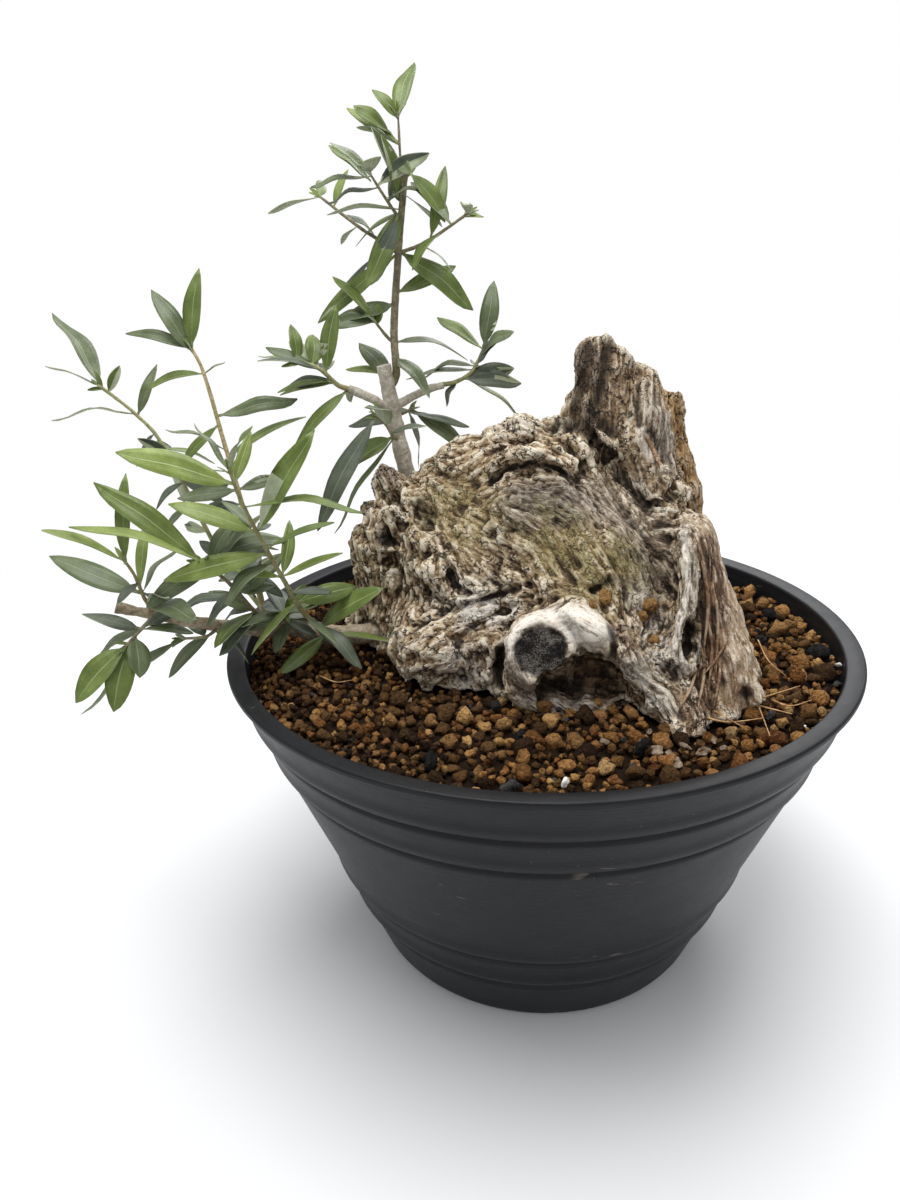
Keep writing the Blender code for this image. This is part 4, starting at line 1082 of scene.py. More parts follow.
    # Painted shade from the darkest tint, in the cut-in folds, holes and cracks; over the eye a plain darkening
    colour = finish.colour(colour, srgb(28, 23, 20), tint["shade_and_dark"] * (0.65 + fine * 0.7))
    char = finish.ramp(micro * 0.45 + mottle * 0.55, (0.42, srgb(13, 12, 11)), (0.51, srgb(34, 32, 30)),
                       (0.59, srgb(112, 106, 99)))
    colour = finish.colour(colour, char, tint["char"])
    rough = 1 - tint["pale"] * 0.75 - tint["tan"] * 0.4
    relief = (fine * 0.6 + micro * 0.5 + thread * 0.7) * rough - gap * 0.6
    relief = relief + thread * (tint["tan"] + tint["rust"] + tint["silver"] + tint["gold"] + tint["bone"]) * 0.5
    return finish.set(Base_Color=colour, Normal=finish.bump(relief, 1.5, 1.0))


def make_stump():
    bm = bmesh.new()
    bm.from_mesh(NODES["trunk"].data)
    bmesh.ops.remove_doubles(bm, verts=bm.verts, dist=1e-6)
    bmesh.ops.scale(bm, vec=(1 / MM,) * 3, verts=bm.verts)
    for balls in STUMP_LUMPS.values():
        add_chain(bm, balls)
    stump = new_object("stump", bm)
    remesh(stump, COARSE_VOXEL)
    relax(stump, 3)
    knot_up(stump.data, tree_of(stump.data))
    tree = tree_of(stump.data)
    wound = (on_wood(tree, WOUND_SPOT), -np.array(sight(WOUND_SPOT)))
    press_marks(stump.data, tree)
    cut_wound(stump.data, wound)
    remesh(stump, FINE_VOXEL)
    relax(stump, 1)
    tree = tree_of(stump.data)
    carve_fine(stump.data, tree, grain_field(tree), wound)
    thin(stump, STUMP_TRIANGLES)
    stump.data.materials.clear()
    stump.data.materials.append(old_wood_finish())
    stump.data.shade_smooth()
    piece(stump, "trunk", "trunk")
    return tree_of(stump.data)


# Loose splinters on the stump's right: pixels of the photo from foot to tip, and thickness
SPLINTERS = (
    ((701, 560), (708, 600), (704, 650), 1.3), ((712, 580), (718, 620), (716, 672), 1.1),
    ((728, 640), (714, 662), (702, 676), 1.0),
    ((706, 610), (712, 650), (708, 694), 1.2), ((700, 640), (704, 672), (698, 708), 1.2),
    ((716, 640), (720, 672), (714, 706), 1.0), ((697, 668), (690, 690), (680, 708), 1.1),
    ((694, 534), (702, 556), (706, 584), 1.0), ((730, 655), (736, 684), (734, 706), 0.9),
    ((643, 430), (653, 450), (664, 474), 1.8), ((608, 436), (600, 458), (606, 486), 0.5),
)
SPLINTER_LIFT = 0.55


def make_splinters(tree):
    """Long torn splinters that lie against the split wood, thin at both ends."""
    bm = bmesh.new()
    for *pixels, thickness in SPLINTERS:
        spots = []
        for pixel in pixels:
            hit, normal = tree.ray_cast(CAMERA_SPOT, sight(pixel))[:2]
            if hit is not None:
                spots.append(hit - Vector(sight(pixel)) * SPLINTER_LIFT * (0.4 + thickness * 0.5))
        if len(spots) < 3:
            continue
        curve = smooth_route(spots, 10)
        radii = [thickness * (0.12 + 0.88 * math.sin(math.pi * index / (len(curve) - 1)) ** 0.6) * 0.55
                 for index in range(len(curve))]
        add_stem(bm, curve, radii, 7)
    splinters = new_object("splinters", bm, bark_finish("split_wood", srgb(82, 58, 42), srgb(130, 99, 74),
                                                        srgb(190, 162, 130), srgb(168, 150, 126)))
    roughen(splinters, ((4.0, 0.25), (1.5, 0.15)))
    smooth(splinters, 60)
    return piece(splinters, "trunk")


def smooth_route(points, per_span):
    """Points on a smooth curve through the given ones."""
    points = [Vector(point) for point in points]
    ends = [2 * points[0] - points[1]] + points + [2 * points[-1] - points[-2]]
    curve = []
    for a, b, c, d in zip(ends, ends[1:], ends[2:], ends[3:]):
        for step in range(per_span):
            t = step / per_span
            curve.append(0.5 * ((2 * b) + (c - a) * t + (2 * a - 5 * b + 4 * c - d) * t ** 2
                                + (3 * b - a - 3 * c + d) * t ** 3))
    curve.append(points[-1])
    return curve


def directions(curve):
    ends = [curve[0]] + curve + [curve[-1]]
    return [(after - before).normalized() for before, after in zip(ends, ends[2:])]


def place_on(curve, part):
    """The point a part of the way along the curve, and the curve's heading there."""
    spans = [(after - before).length for before, after in zip(curve, curve[1:])]
    left = part * sum(spans)
    for before, after, span in zip(curve, curve[1:], spans):
        if left <= span:
            return before + (after - before) * (left / span), (after - before) / span
        left -= span
    return curve[-1].copy(), (curve[-1] - curve[-2]).normalized()


def heading_vector(heading, lift):
    heading, lift = math.radians(heading), math.radians(lift)
    return Vector((math.cos(heading) * math.cos(lift), math.sin(heading) * math.cos(lift), math.sin(lift)))


def add_stem(bm, curve, radii, sides):
    """A capped stem along a curve: its end face is extruded from one point to the next."""
    headings = directions(curve)
    side = headings[0].orthogonal().normalized()
    frames = []
    for index, (point, heading) in enumerate(zip(curve, headings)):
        side = (side - heading * side.dot(heading)).normalized()
        radius = radii[index]
        turn = Matrix((side * radius, heading.cross(side) * radius, heading * radius)).transposed().to_4x4()
        frames.append(Matrix.Translation(point) @ turn)
    ring = bmesh.ops.create_circle(bm, cap_ends=True, segments=sides, radius=1.0, matrix=frames[0])["verts"]
    face = ring[0].link_faces[0]
    for before, after in zip(frames, frames[1:]):
        grown = bmesh.ops.extrude_face_region(bm, geom=[face])["geom"]
        face = [item for item in grown if isinstance(item, bmesh.types.BMFace)][0]
        bmesh.ops.transform(bm, matrix=after @ before.inverted(), verts=list(face.verts))


def tapered(curve, radii):
    """A radius for each point of a curve, from the foot's to the tip's."""
    return [radii[0] + (radii[1] - radii[0]) * index / (len(curve) - 1) for index in range(len(curve))]


def evenly(curve, step):
    """Points along the curve at about the given spacing."""
    total = sum((after - before).length for before, after in zip(curve, curve[1:]))
    count = max(3, round(total / step))
    return [place_on(curve, min(index / count, 1.0))[0] for index in range(count + 1)]


def bark_finish(name, low, middle, high, patch, roughness=0.85):
    """Young bark: fine streaks along the wood, small pores, and patches of another colour."""
    finish = Finish(name, Roughness=roughness)
    finish.shader.inputs["Specular IOR Level"].default_value = 0.3
    place = finish.place()
    fine = finish.noise(place, 1.1, 4.0, 0.6)
    blot = finish.noise(place, 5.0, 4.0, 0.65)
    colour = finish.ramp(fine * 0.5 + blot * 0.5, (0.36, low), (0.5, middle), (0.64, high))
    colour = finish.colour(colour, patch, finish.noise(place, 11.0, 3.0, 0.6).step(0.52, 0.64) * 0.7)
    pores = finish.cells(place, 1.4).step(0.16, 0.06)
    colour = finish.colour(colour, high, pores * 0.6)
    relief = fine * 0.6 + blot * 0.5 + pores * 0.25
    return finish.set(Base_Color=colour, Normal=finish.bump(relief, 0.45, 0.9))


def roughen(obj, waves):
    """Push a piece's surface in and out by noise: (size, height) of each wave."""
    mesh = obj.data
    points, normals = read_points(mesh), read_normals(mesh)
    move = sum(height * swell(points, size, 80 + index) for index, (size, height) in enumerate(waves))
    write_points(mesh, points + normals * move[:, None])


LIMB_BARKS = {
    "rear_stem": "grey_bark", "rear_left_bough": "grey_bark", "rear_right_bough": "grey_bark",
    "left_limb": "brown_bark", "left_arm": "brown_bark",
}
LIMB_WAVES = ((7.0, 0.5), (2.6, 0.28), (1.2, 0.12))
TWIG_WAVES = ((3.0, 0.12), (1.2, 0.06))


def make_limbs(barks):
    for name, limb in LIMBS.items():
        curve = evenly(smooth_route(limb.route, 6), 0.8)
        bm = bmesh.new()
        add_stem(bm, curve, tapered(curve, limb.radii), 24)
        obj = new_object(name + "_bark", bm, barks[LIMB_BARKS[name]])
        roughen(obj, LIMB_WAVES)
        smooth(obj, 55)
        piece(obj, "bark", name)


def leaf_probe(root, out, length, width, sag, roll):
    """The plain shape of a leaf, a little grown, that its neighbours are tried against."""
    across = Matrix.Rotation(roll, 3, out) @ out.cross(LEAF_FACING).normalized()
    over = across.cross(out).normalized()
    thick = max(LEAF_THICKNESS * length, 0.5) / 2 + GAP
    stations = ((0.0, PETIOLE_RADIUS, PETIOLE_RADIUS), (0.42, width / 2, thick), (0.74, width * 0.36, thick))
    bm = bmesh.new()
    ring = bmesh.ops.create_circle(bm, cap_ends=True, segments=4, radius=1.0)["verts"]
    face = ring[0].link_faces[0]
    for index, (part, half, depth) in enumerate(stations):
        if index:
            grown = bmesh.ops.extrude_face_region(bm, geom=[face])["geom"]
            face = [item for item in grown if isinstance(item, bmesh.types.BMFace)][0]
        middle = root + out * (length * part) - over * (sag * part ** 2)
        if index == 0:
            half, depth = half + GAP, depth
        corners = (across * (half + (GAP if index else 0)), over * depth,
                   across * -(half + (GAP if index else 0)), over * -depth)
        for vert, corner in zip(face.verts, corners):
            vert.co = middle + corner
    tip = bmesh.ops.poke(bm, faces=[face])["verts"][0]
    tip.co = root + out * length - over * sag
    bmesh.ops.triangulate(bm, faces=bm.faces)
    tree = BVHTree.FromBMesh(bm)
    bm.free()
    return tree


def clear_heading(root, out, length, width, sag, roll, others):
    """The leaf's direction, turned as little as keeps it clear of the other pieces, or None."""
    base_heading = math.degrees(math.atan2(out.y, out.x))
    base_rise = math.degrees(math.asin(max(-1.0, min(1.0, out.z))))
    for turn, lift in LEAF_TRIES:
        tried = heading_vector(base_heading + turn, max(-80, min(85, base_rise + lift)))
        tree = leaf_probe(root + tried * LEAF_FOOT, tried, length - LEAF_FOOT, width, sag, roll)
        if not any(tree.overlap(other) for other in others):
            return tried
    return None


# Leaves: the blade's outline and bend, and the tops' tones with the share of each in a spray
LEAF_COLUMNS, LEAF_ROWS = 4, 11
LEAF_SHEET = 0.34
PETIOLE_PART = 0.075
LEAF_TONES = ("leaf_young", "leaf_fresh", "leaf_mature", "leaf_old")
UNDER_SLOT = 4
TWIG_SLIMNESS = 0.84
LEAF_FULLNESS = 0.93
LEAF_TRIMS = (1.0, 0.93, 0.86, 0.8, 0.72)       # a leaf that would leave the solid's box is shortened
BOX_MARGIN = 0.36
BOX_LOW = [bound / MM + BOX_MARGIN for bound in cad_box[0]]
BOX_HIGH = [bound / MM - BOX_MARGIN for bound in cad_box[1]]
FILL_LEAVES = {
    "rear_crown": 7, "rear_left_spray": 4, "rear_right_spray": 3, "rear_low_left_spray": 2,
    "rear_low_right_spray": 2, "left_tan_spray": 9, "left_outer_spray": 10, "left_front_spray": 7,
    "left_mid_spray": 8, "left_knot_spray": 6, "left_arm_tip_spray": 3, "left_arm_under_spray": 2,
    "left_arm_middle_spray": 3,
}
# Leaves that stand out in the photo: pixels of root and tip, depth (y) there, width and tone
SEEN_LEAVES = {
    "rear_crown": (
        ((371, 181), (332, 141), (26, 20), 9.6, 1), ((391, 133), (354, 106), (24, 20), 8.0, 1),
        ((397, 198), (390, 133), (22, 16), 7.6, 1), ((409, 172), (450, 214), (24, 20), 8.8, 1),
        ((398, 214), (376, 284), (22, 16), 7.2, 3), ((374, 256), (315, 318), (30, 34), 5.0, 3),
    ),
}
SEEN_SAG = 0.05
LEAF_SWELL = {"rear_crown": 1.12, "rear_left_spray": 1.12, "rear_right_spray": 1.12}
TWIG_BARKS = {
    "rear_crown": "grey_twig", "rear_left_spray": "green_twig", "rear_right_spray": "green_twig",
    "rear_low_left_spray": "grey_twig", "rear_low_right_spray": "grey_twig", "left_tan_spray": "tan_twig",
    "left_outer_spray": "green_twig", "left_front_spray": "green_twig", "left_mid_spray": "grey_twig",
    "left_knot_spray": "grey_twig", "left_arm_tip_spray": "green_twig", "left_arm_under_spray": "grey_twig",
    "left_arm_middle_spray": "grey_twig",
}
SPRAY_TONES = {
    "rear_crown": (2, 4, 3, 1), "rear_left_spray": (1, 4, 4, 1), "rear_right_spray": (0, 2, 4, 2),
    "rear_low_left_spray": (0, 1, 4, 2), "rear_low_right_spray": (0, 1, 4, 2),
    "left_tan_spray": (0, 3, 4, 1), "left_outer_spray": (0, 2, 4, 2), "left_front_spray": (3, 4, 2, 0),
    "left_mid_spray": (1, 4, 3, 0), "left_knot_spray": (0, 3, 3, 0), "left_arm_tip_spray": (1, 4, 2, 0),
    "left_arm_under_spray": (0, 3, 3, 1), "left_arm_middle_spray": (0, 3, 3, 1),
}


def outline(part):
    """Half width of a leaf at a part of its length, 1 at the widest: a stalk, then a long slim blade."""
    if part <= PETIOLE_PART:
        return 0.0
    blade = (part - PETIOLE_PART) / (1 - PETIOLE_PART)
    return math.sin(math.pi * blade ** 0.96) ** 0.66


def add_leaf(bm, root, out, length, width, sag, roll, tone, rng):
    """One leaf: a flat grid drawn into its outline, folded along the rib, bent, and given its thickness."""
    across = Matrix.Rotation(roll, 3, out) @ out.cross(LEAF_FACING).normalized()
    over = across.cross(out).normalized()
    fold = math.radians(rng.uniform(8, 28))
    bend = rng.gauss(0, 0.05 + 0.025 * tone)
    hook = max(0.0, rng.gauss(0.02, 0.05 + 0.03 * tone))
    wave = rng.uniform(0, 0.02 * (1 + tone))
    twist = math.radians(rng.uniform(-22, 22) * (1 + 0.5 * tone))
    curl = rng.uniform(0.0, 0.16)
    leaf = bmesh.new()
    layer = leaf.loops.layers.uv.new("blade")
    grid = bmesh.ops.create_grid(leaf, x_segments=LEAF_COLUMNS, y_segments=LEAF_ROWS, size=1.0, calc_uvs=True)
    blade = [(vert, vert.co.x, (vert.co.y + 1) / 2) for vert in grid["verts"]]
    for trim in LEAF_TRIMS:
        long = length * trim
        for vert, side, part in blade:
            half = max(width / 2 * outline(part), 0.16 if part > 0.5 else 0.5)
            turn = Matrix.Rotation(twist * part, 3, out)
            lift = abs(side) * half * math.sin(fold) - curl * half * side * side
            droop = sag * part * part + long * (hook * part ** 3 + wave * math.sin(9 * part) * part)
            middle = root + out * (long * part) - over * droop + across * (bend * long * part ** 2)
            vert.co = middle + turn @ (across * (side * half * math.cos(fold)) + over * lift)
        if all(BOX_LOW[axis] < vert.co[axis] < BOX_HIGH[axis] for vert, _, _ in blade for axis in range(3)):
            break
    made = bmesh.ops.solidify(leaf, geom=leaf.faces[:], thickness=LEAF_SHEET)
    bmesh.ops.recalc_face_normals(leaf, faces=leaf.faces)
    for face in leaf.faces:
        part = (face.calc_center_median() - root).dot(out) / long
        upward = Matrix.Rotation(twist * part, 3, out) @ over
        face.smooth = True
        face.material_index = tone if face.normal.dot(upward) > 0.1 else UNDER_SLOT
    del made, layer
    scrap = bpy.data.meshes.new("leaf")
    leaf.to_mesh(scrap)
    leaf.free()
    bm.from_mesh(scrap)
    bpy.data.meshes.remove(scrap)


def leaf_finish(name, dark, middle, light, rib, roughness):
    """A leaf's face: mottled green, paler along the rib, with faint side veins and a fine leathery grain."""
    finish = Finish(name, Roughness=roughness)
    finish.shader.inputs["Specular IOR Level"].default_value = 0.45
    place = finish.place()
    blade = finish.node("ShaderNodeUVMap", {"uv_map": "blade"})
    split = finish.node("ShaderNodeSeparateXYZ", None, {0: blade})
    across = finish.node("ShaderNodeMath", {"operation": "ABSOLUTE"}, {0: split - 0.5})
    along = Value(finish, split.socket.node.outputs[1])
    mottle = finish.noise(place, 9.0, 3.0, 0.5)
    fine = finish.noise(place, 0.8, 3.0, 0.6)
    colour = finish.ramp(mottle * 0.75 + fine * 0.25, (0.30, dark), (0.5, middle), (0.72, light))
    veins = finish.node("ShaderNodeMath", {"operation": "SINE"}, {0: (along * 120.0 - across * 70.0)})
    colour = finish.colour(colour, light, veins.step(0.6, 1.0) * across.step(0.0, 0.2) * 0.10)
    line = across.step(0.040, 0.014)
    colour = finish.colour(colour, rib, line * 0.6)
    stalk = along.step(0.13, 0.05)
    colour = finish.colour(colour, rib, stalk * 0.6)
    edge = across.step(0.46, 0.5)
    colour = finish.colour(colour, rib, edge * 0.22)
    relief = fine * 0.35 + mottle * 0.4 - line * 0.6 + veins * 0.06
    return finish.set(Base_Color=colour, Roughness=roughness - 0.08 + mottle * 0.2,
                      Normal=finish.bump(relief, 0.22, 0.8))


def leaf_finishes():
    """The four tones of the tops, the silvery undersides, in slot order."""
    return (
        leaf_finish("leaf_young", srgb(98, 114, 46), srgb(122, 139, 64), srgb(152, 166, 98),
                    srgb(186, 196, 146), 0.42),
        leaf_finish("leaf_fresh", srgb(76, 92, 38), srgb(97, 114, 50), srgb(124, 141, 78),
                    srgb(160, 172, 120), 0.40),
        leaf_finish("leaf_mature", srgb(71, 83, 51), srgb(94, 106, 71), srgb(120, 130, 100),
                    srgb(150, 158, 126), 0.40),
        leaf_finish("leaf_old", srgb(58, 67, 53), srgb(82, 91, 74), srgb(108, 115, 97),
                    srgb(138, 144, 120), 0.44),
        leaf_finish("leaf_under", srgb(134, 144, 112), srgb(164, 172, 142), srgb(190, 196, 170),
                    srgb(206, 210, 180), 0.7),
    )


def tip_leaves(bm, curve, tone, rng):
    """The small leaves and the bud at a shoot's growing tip."""
    tip, along = place_on(curve, 1.0)
    side = along.orthogonal().normalized()
    start = rng.uniform(0, math.tau)
    for index, (back, length, spread_angle) in enumerate(TIP_LEAVES):
        for half_turn in (0, math.pi):
            turn = Matrix.Rotation(start + index * math.pi / 2 + half_turn, 3, along)
            out = (along * math.cos(spread_angle) + (turn @ side) * math.sin(spread_angle)).normalized()
            size = length * rng.uniform(0.8, 1.2)
            add_leaf(bm, tip - along * back, out, size, size * 0.26, size * 0.05, rng.uniform(-0.5, 0.5),
                     tone, rng)


TIP_LEAVES = ((0.2, 4.0, 0.28), (2.4, 7.0, 0.62))


def fill_leaf(bm, shoots, others, rng):
    """One more old leaf somewhere on a spray's shoots, where it stays clear of the other pieces."""
    curve = smooth_route(rng.choice(shoots).route, 4)
    root, along = place_on(curve, rng.uniform(0.12, 0.75))
    out = heading_vector(rng.uniform(0, 360), rng.uniform(-30, 50))
    length = rng.uniform(15, 29)
    width, sag, roll = length * rng.uniform(0.24, 0.36), length * 0.1, rng.uniform(-0.6, 0.6)
    tried = clear_heading(root, out, length, width, sag, roll, others)
    if tried is not None:
        add_leaf(bm, root, tried, length, width, sag, roll, rng.choice((2, 3, 3)), rng)


def on_plane(pixel, depth):
    """Where the camera sees a pixel at a depth (y) of the object."""
    look = sight(pixel)
    return CAMERA_SPOT + look * ((depth - CAMERA_SPOT.y) / look.y)


def seen_leaf(bm, root_pixel, tip_pixel, depths, width, tone, rng):
    root, tip = on_plane(root_pixel, depths[0]), on_plane(tip_pixel, depths[1])
    length = (tip - root).length
    add_leaf(bm, root, (tip - root).normalized(), length, width, length * SEEN_SAG, rng.uniform(-0.2, 0.2),
             tone, rng)


def make_sprays(barks):
    """Each spray's leaves and twigs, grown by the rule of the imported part."""
    tops = leaf_finishes()
    order = ["pot", "soil", "trunk", *LIMBS]
    others = [tree_of(NODES[name].data) for name in order]
    rng = random.Random(SPRAY_SEED)
    shape_rng = random.Random(SPRAY_SEED + 1)
    for name, (parent, shoots) in SPRAYS.items():
        leaves, twigs = bmesh.new(), bmesh.new()
        leaves.loops.layers.uv.new("blade")
        for shoot in shoots:
            curve = smooth_route(shoot.route, 4)
            fine = evenly(smooth_route(shoot.route, 6), 0.9)
            add_stem(twigs, fine, tapered(fine, [radius * TWIG_SLIMNESS for radius in shoot.radii]), 12)
            for part, heading, lift, length, width, mate in shoot.leaves:
                root, along = place_on(curve, part)
                out = heading_vector(heading, lift)
                mirrored = 2 * out.dot(along) * along - out
                for leaf_out, leaf_length in ((out, length), (mirrored, mate)):
                    leaf_width = width * leaf_length / length
                    sag = leaf_length * LEAF_SAG * rng.uniform(0.2, 1.4)
                    roll = rng.uniform(-LEAF_ROLL, LEAF_ROLL)
                    if leaf_length == 0:
                        continue
                    tried = clear_heading(root, leaf_out, leaf_length, leaf_width, sag, roll, others)
                    if tried is None:
                        continue
                    tone = shape_rng.choices(range(4), SPRAY_TONES[name])[0]
                    fullness = LEAF_FULLNESS * LEAF_SWELL.get(name, 1.0)
                    add_leaf(leaves, root, tried, leaf_length, leaf_width * fullness, sag, roll, tone, shape_rng)
            tip_leaves(leaves, curve, 0 if SPRAY_TONES[name][0] else 1, shape_rng)
        for _ in range(FILL_LEAVES[name]):
            fill_leaf(leaves, shoots, others, shape_rng)
        for seen in SEEN_LEAVES.get(name, ()):
            seen_leaf(leaves, *seen, shape_rng)
        foliage = new_object(name + "_leaves", leaves, *tops)
        piece(foliage, "foliage", name)
        stems = new_object(name + "_twigs", twigs, barks[TWIG_BARKS[name]])
        roughen(stems, TWIG_WAVES)
        smooth(stems, 60)
        piece(stems, "bark", name)
        others.append(tree_of(NODES[name].data))


# Soil: the grains' tones with the share of each, and how the loose layer is heaped
Tone = namedtuple("Tone", "share dark middle light")
GRAIN_TONES = {
    "dark_brown": Tone(0.22, srgb(42, 28, 17), srgb(82, 58, 35), srgb(124, 92, 57)),
    "brown": Tone(0.27, srgb(84, 58, 32), srgb(136, 98, 58), srgb(186, 142, 89)),
    "russet": Tone(0.25, srgb(98, 60, 31), srgb(160, 108, 61), srgb(210, 156, 96)),
    "orange": Tone(0.20, srgb(124, 83, 43), srgb(186, 135, 78), srgb(228, 180, 115)),
    "ochre": Tone(0.04, srgb(128, 92, 50), srgb(182, 140, 86), srgb(222, 184, 129)),
    "charcoal": Tone(0.025, srgb(34, 33, 32), srgb(62, 60, 58), srgb(104, 102, 98)),
}
SHADE_SHARES = (0.52, 0.28, 0.12, 0.05, 0.01, 0.02)     # of the same tones, at the shaded left
GRAIN_SHAPES = 10
GRAIN_COUNT = 17000
MAP_STEP = 1.0
MAP_HALF = 130


def soil_height(x, y):
    """The level of the soil, which falls a little at the wall, most of all at the back."""
    lean = max(0.0, math.cos(math.atan2(y, x) - SOIL_LOW_SIDE)) ** 3
    part = min(1.0, max(0.0, (math.hypot(x, y) - 98) / 28))
    return SOIL_TOP + SOIL_SWELL - (SOIL_EDGE_DROP + SOIL_BACK_DROP * lean) * part * part


def inner_radius(height):
    """Inner radius of the bowl's wall at a height under the lip."""
    low, high = wall_radius(WALL) - WALL, RIM_RADIUS - LIP_WIDTH
    return low + (high - low) * (height - WALL) / (POT_HEIGHT - LIP_DEPTH - 2 - WALL)


def make_bed():
    """The packed soil under the loose grains."""
    floor = WALL + GAP
    edge = SOIL_TOP - BED_SINK
    profile = [(0, floor), (inner_radius(floor) - GAP, floor), (inner_radius(edge) - GAP, edge)]
    profile += [(radius, SOIL_TOP - BED_SINK) for radius in range(108, 0, -12)] + [(0, SOIL_TOP - BED_SINK)]
    bm = turned(profile, BOWL_SEGMENTS)
    for vert in bm.verts:
        if vert.co.z > edge - 0.5:
            vert.co.z = soil_height(vert.co.x, vert.co.y) - BED_SINK
    bed = new_object("soil_bed", bm, grain_finish("packed_soil", GRAIN_TONES["dark_brown"]))
    bed.data.shade_smooth()
    return piece(bed, "soil", "soil")


def grain_finish(name, tone):
    """Baked clay: dusty, chalky, with fine dark pits that are partly painted shade; each grain has its own tone."""
    finish = Finish(name, Roughness=0.95)
    finish.shader.inputs["Specular IOR Level"].default_value = 0.15
    place = finish.place()
    fine = finish.noise(place, 0.95, 4.0, 0.75)
    blot = finish.noise(place, 2.2, 3.0, 0.65)
    pores = finish.cells(place, 1.2)
    shade = finish.attribute("shade")
    colour = finish.ramp(shade * 0.28 + fine * 0.42 + blot * 0.30, (0.36, tone.dark), (0.5, tone.middle),
                         (0.64, tone.light))
    # Dark pits: the clay's pores, and painted shade in the low spots of the bump
    pits = (fine * 0.6 + blot * 0.4).step(0.46, 0.37)
    colour = finish.colour(colour, srgb(26, 17, 11), pits * 0.5)
    relief = fine * 1.0 + blot * 1.0 - pores * 0.5
    return finish.set(Base_Color=colour, Normal=finish.bump(relief, 2.6, 1.0))


def grain_shapes(rng):
    shapes = []
    for index in range(GRAIN_SHAPES):
        bm = bmesh.new()
        bmesh.ops.create_icosphere(bm, subdivisions=2, radius=1.0)
        lumps = np.array([vert.co for vert in bm.verts])
        reach = 1 + 0.50 * swell(lumps, 0.9, 200 + index) + 0.46 * swell(lumps, 0.42, 300 + index)
        flat = Vector((rng.uniform(0.85, 1.15), rng.uniform(0.7, 1.0), rng.uniform(0.6, 0.9)))
        for vert, far in zip(bm.verts, reach):
            vert.co = vert.co * float(far) * flat
        mesh = bpy.data.meshes.new("grain")
        bm.to_mesh(mesh)
        bm.free()
        shapes.append(mesh)
    return shapes


def stump_foot():
    """Where the stump stands in the soil, on the height map."""
    tree = tree_of(NODES["trunk"].data)
    cells = np.zeros((2 * MAP_HALF + 1, 2 * MAP_HALF + 1), bool)
    for column in range(-90, 91):
        for row in range(-90, 91):
            spot = Vector((column, row, SOIL_TOP + 1.5))
            hits = 0
            while True:
                hit = tree.ray_cast(spot, Vector((0, 0, 1)))[0]
                if hit is None:
                    break
                hits += 1
                spot = hit + Vector((0, 0, 0.05))
            cells[column + MAP_HALF, row + MAP_HALF] = hits % 2 == 1
    return cells


def heap_grains(rng):
    """Drop grains one by one where they come to rest: (x, y, z, radius) of each."""
    side = np.arange(-MAP_HALF, MAP_HALF + 1) * MAP_STEP
    across, along = np.meshgrid(side, side, indexing="ij")
    level = np.vectorize(soil_height)(across, along)
    top = level - BED_SINK - 0.5
    foot = stump_foot()
    grains = []
    for _ in range(GRAIN_COUNT):
        angle, away = rng.uniform(0, math.tau), 126.0 * math.sqrt(rng.random())
        x, y = away * math.cos(angle), away * math.sin(angle)
        coarse = 0.55 + 0.45 * max(-1.0, min(1.0, (x - 0.7 * y) / 80 + 0.5))
        radius = (1.2 + 3.5 * coarse * rng.random() ** 1.9) * rng.uniform(0.9, 1.15)
        if away + radius > 127.2:
            continue
        column, row = round(x) + MAP_HALF, round(y) + MAP_HALF
        if foot[column, row]:
            continue
        reach = math.ceil(radius)
        patch = (slice(column - reach, column + reach + 1), slice(row - reach, row + reach + 1))
        span = (across[patch] - x) ** 2 + (along[patch] - y) ** 2
        dome = np.sqrt(np.maximum(radius * radius - span, 0.0))
        inside = span < radius * radius
        if not inside.any():
            continue
        z = float((top[patch] + dome * 0.8)[inside].max())
        if z + radius > level[column, row] + 0.4 + 1.35 * radius:
            continue
        top[patch] = np.where(inside, np.maximum(top[patch], z + dome), top[patch])
        grains.append((x, y, z, radius))
    return grains


def make_grains():
    rng = random.Random(7)
    shapes = grain_shapes(rng)
    grains = heap_grains(rng)
    names = list(GRAIN_TONES)
    shares = [tone.share for tone in GRAIN_TONES.values()]
    heaps = {name: (bmesh.new(), []) for name in names}
    for x, y, z, radius in grains:
        name = rng.choices(names, SHADE_SHARES if x + rng.gauss(0, 15) < -35 else shares)[0]
        bm, shades = heaps[name]
        shape = rng.choice(shapes).copy()
        turn = Matrix.Rotation(rng.uniform(0, math.tau), 4, Vector((rng.gauss(0, 1), rng.gauss(0, 1), 1)))
        shape.transform(Matrix.Translation((x, y, z)) @ turn @ Matrix.Scale(radius, 4))
        bm.from_mesh(shape)
        bpy.data.meshes.remove(shape)
        shades.append(rng.random())
    for name, (bm, shades) in heaps.items():
        heap = new_object("grains_" + name, bm, grain_finish(name + "_clay", GRAIN_TONES[name]))
        note(heap.data, "shade", np.repeat(shades, 42))
        heap.data.shade_smooth()
        piece(heap, "soil", "soil")
    for shape in shapes:
        bpy.data.meshes.remove(shape)


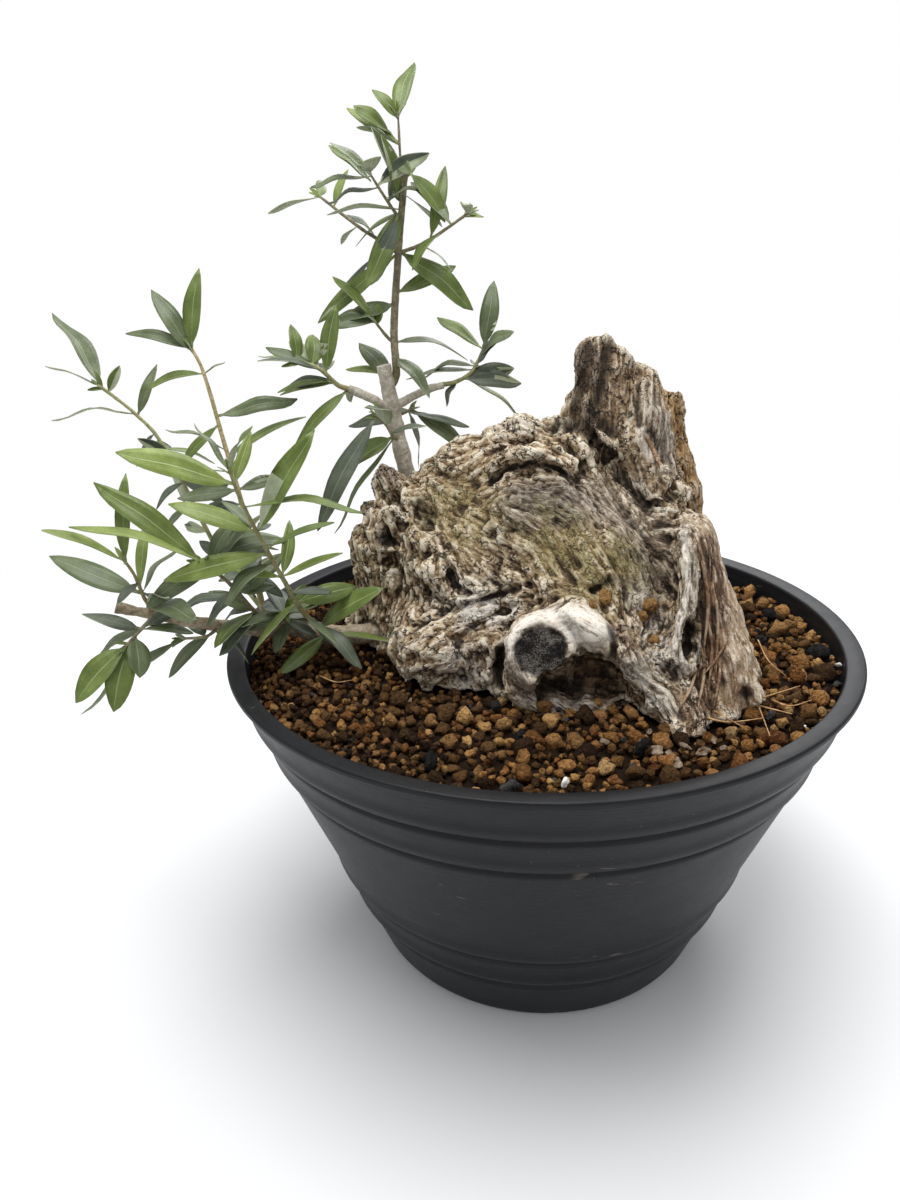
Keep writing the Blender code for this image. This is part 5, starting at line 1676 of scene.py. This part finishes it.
# Straws and chips on the soil, and grains that lie on the stump, by pixels of the photo
STRAWS = (
    ((704, 690), (745, 702), (792, 714), 0.55), ((712, 704), (752, 700), (800, 686), 0.5),
    ((742, 672), (756, 700), (770, 736), 0.4), ((700, 716), (728, 722), (764, 718), 0.45),
    ((690, 700), (716, 712), (748, 730), 0.4), ((758, 640), (768, 660), (786, 676), 0.35),
    ((320, 676), (336, 682), (352, 680), 0.35), ((772, 700), (790, 706), (812, 700), 0.4),
)
CHIPS = (
    (644, 742, 3.2), (656, 750, 2.8), (672, 756, 3.8), (686, 746, 2.6), (702, 752, 3.2), (714, 740, 2.4),
    (678, 764, 2.4), (696, 732, 2.2), (724, 748, 1.8), (650, 732, 1.8), (604, 742, 1.8), (410, 700, 1.6),
)
WHITE_BITS = ((565, 783, 1.7), (803, 728, 1.5), (838, 665, 1.5))
CINDERS = ((430, 762, 4.6), (642, 748, 4.4), (760, 640, 2.6))
STRAY_GRAINS = (
    (605, 597, 2.7), (650, 606, 3.2), (641, 616, 2.0), (655, 640, 2.0), (592, 604, 1.6), (598, 702, 2.4),
    (612, 712, 2.8), (470, 712, 2.2), (486, 716, 2.6),
)


def on_soil(pixel, lift):
    """Where the camera sees a pixel on the soil, a little above it."""
    look = sight(pixel)
    return CAMERA_SPOT + look * ((SOIL_TOP + lift - CAMERA_SPOT.z) / look.z)


def make_litter(tree):
    """Straws, bark chips and white bits on the soil, and stray grains caught on the wood."""
    rng = random.Random(19)
    bm = bmesh.new()
    for *pixels, thickness in STRAWS:
        spots = [on_soil(pixel, 3.4 + 1.6 * index) for index, pixel in enumerate(pixels)]
        curve = smooth_route(spots, 7)
        add_stem(bm, curve, tapered(curve, (thickness, thickness * 0.35)), 7)
    straw = new_object("straws", bm, bark_finish("dry_straw", srgb(128, 92, 56), srgb(184, 144, 96),
                                                 srgb(222, 192, 146), srgb(150, 108, 66), 0.6))
    smooth(straw, 60)
    piece(straw, "soil")
    for name, spots, flat, finish in (
            ("bark_chips", CHIPS, 0.16, bark_finish("dry_chip", srgb(80, 66, 52), srgb(118, 102, 84),
                                                    srgb(168, 154, 134), srgb(74, 58, 44))),
            ("cinders", CINDERS, 0.75, grain_finish("cinder", GRAIN_TONES["charcoal"])),
            ("white_bits", WHITE_BITS, 0.8, bark_finish("white_stone", srgb(196, 192, 184),
                                                        srgb(226, 222, 214), srgb(246, 244, 240),
                                                        srgb(206, 200, 190)))):
        bm = bmesh.new()
        for x, y, size in spots:
            turn = Matrix.Rotation(rng.uniform(0, math.tau), 4, "Z") @ Matrix.Rotation(rng.gauss(0, 0.4), 4, "X")
            shape = Matrix.Diagonal((size, size * rng.uniform(0.4, 0.75), size * flat, 1))
            bmesh.ops.create_icosphere(bm, subdivisions=3, radius=1.0,
                                       matrix=Matrix.Translation(on_soil((x, y), 2.4)) @ turn @ shape)
        bits = new_object(name, bm, finish)
        roughen(bits, ((2.6, 0.9), (1.2, 0.5)))
        smooth(bits, 50)
        piece(bits, "soil")
    bm = bmesh.new()
    for x, y, size in STRAY_GRAINS:
        hit = tree.ray_cast(CAMERA_SPOT, sight((x, y)))[0]
        if hit is not None:
            bmesh.ops.create_icosphere(bm, subdivisions=3, radius=size * 0.92,
                                       matrix=Matrix.Translation(hit - sight((x, y)) * size * 0.35))
    strays = new_object("stray_grains", bm, grain_finish("stray_clay", GRAIN_TONES["ochre"]))
    roughen(strays, ((3.0, 1.0), (1.5, 0.8)))
    note(strays.data, "shade", np.full(len(strays.data.vertices), 0.45))
    smooth(strays, 60)
    piece(strays, "soil")


def make_barks():
    return {
        "grey_bark": bark_finish("grey_bark", srgb(144, 136, 121), srgb(186, 179, 163), srgb(218, 213, 199),
                                 srgb(160, 153, 134)),
        "brown_bark": bark_finish("brown_bark", srgb(122, 107, 88), srgb(168, 152, 129), srgb(206, 193, 170),
                                  srgb(118, 110, 84)),
        "tan_twig": bark_finish("tan_twig", srgb(148, 130, 90), srgb(190, 171, 128), srgb(216, 202, 164),
                                srgb(160, 152, 104), 0.65),
        "green_twig": bark_finish("green_twig", srgb(110, 112, 72), srgb(144, 144, 100), srgb(178, 176, 134),
                                  srgb(150, 132, 92), 0.6),
        "grey_twig": bark_finish("grey_twig", srgb(98, 90, 70), srgb(134, 124, 100), srgb(172, 162, 136),
                                 srgb(120, 118, 84), 0.7),
    }


def main():
    make_camera()
    make_studio()
    barks = make_barks()
    make_bowl()
    make_bed()
    make_grains()
    stump_tree = make_stump()
    make_splinters(stump_tree)
    make_litter(stump_tree)
    make_limbs(barks)
    make_sprays(barks)


main()
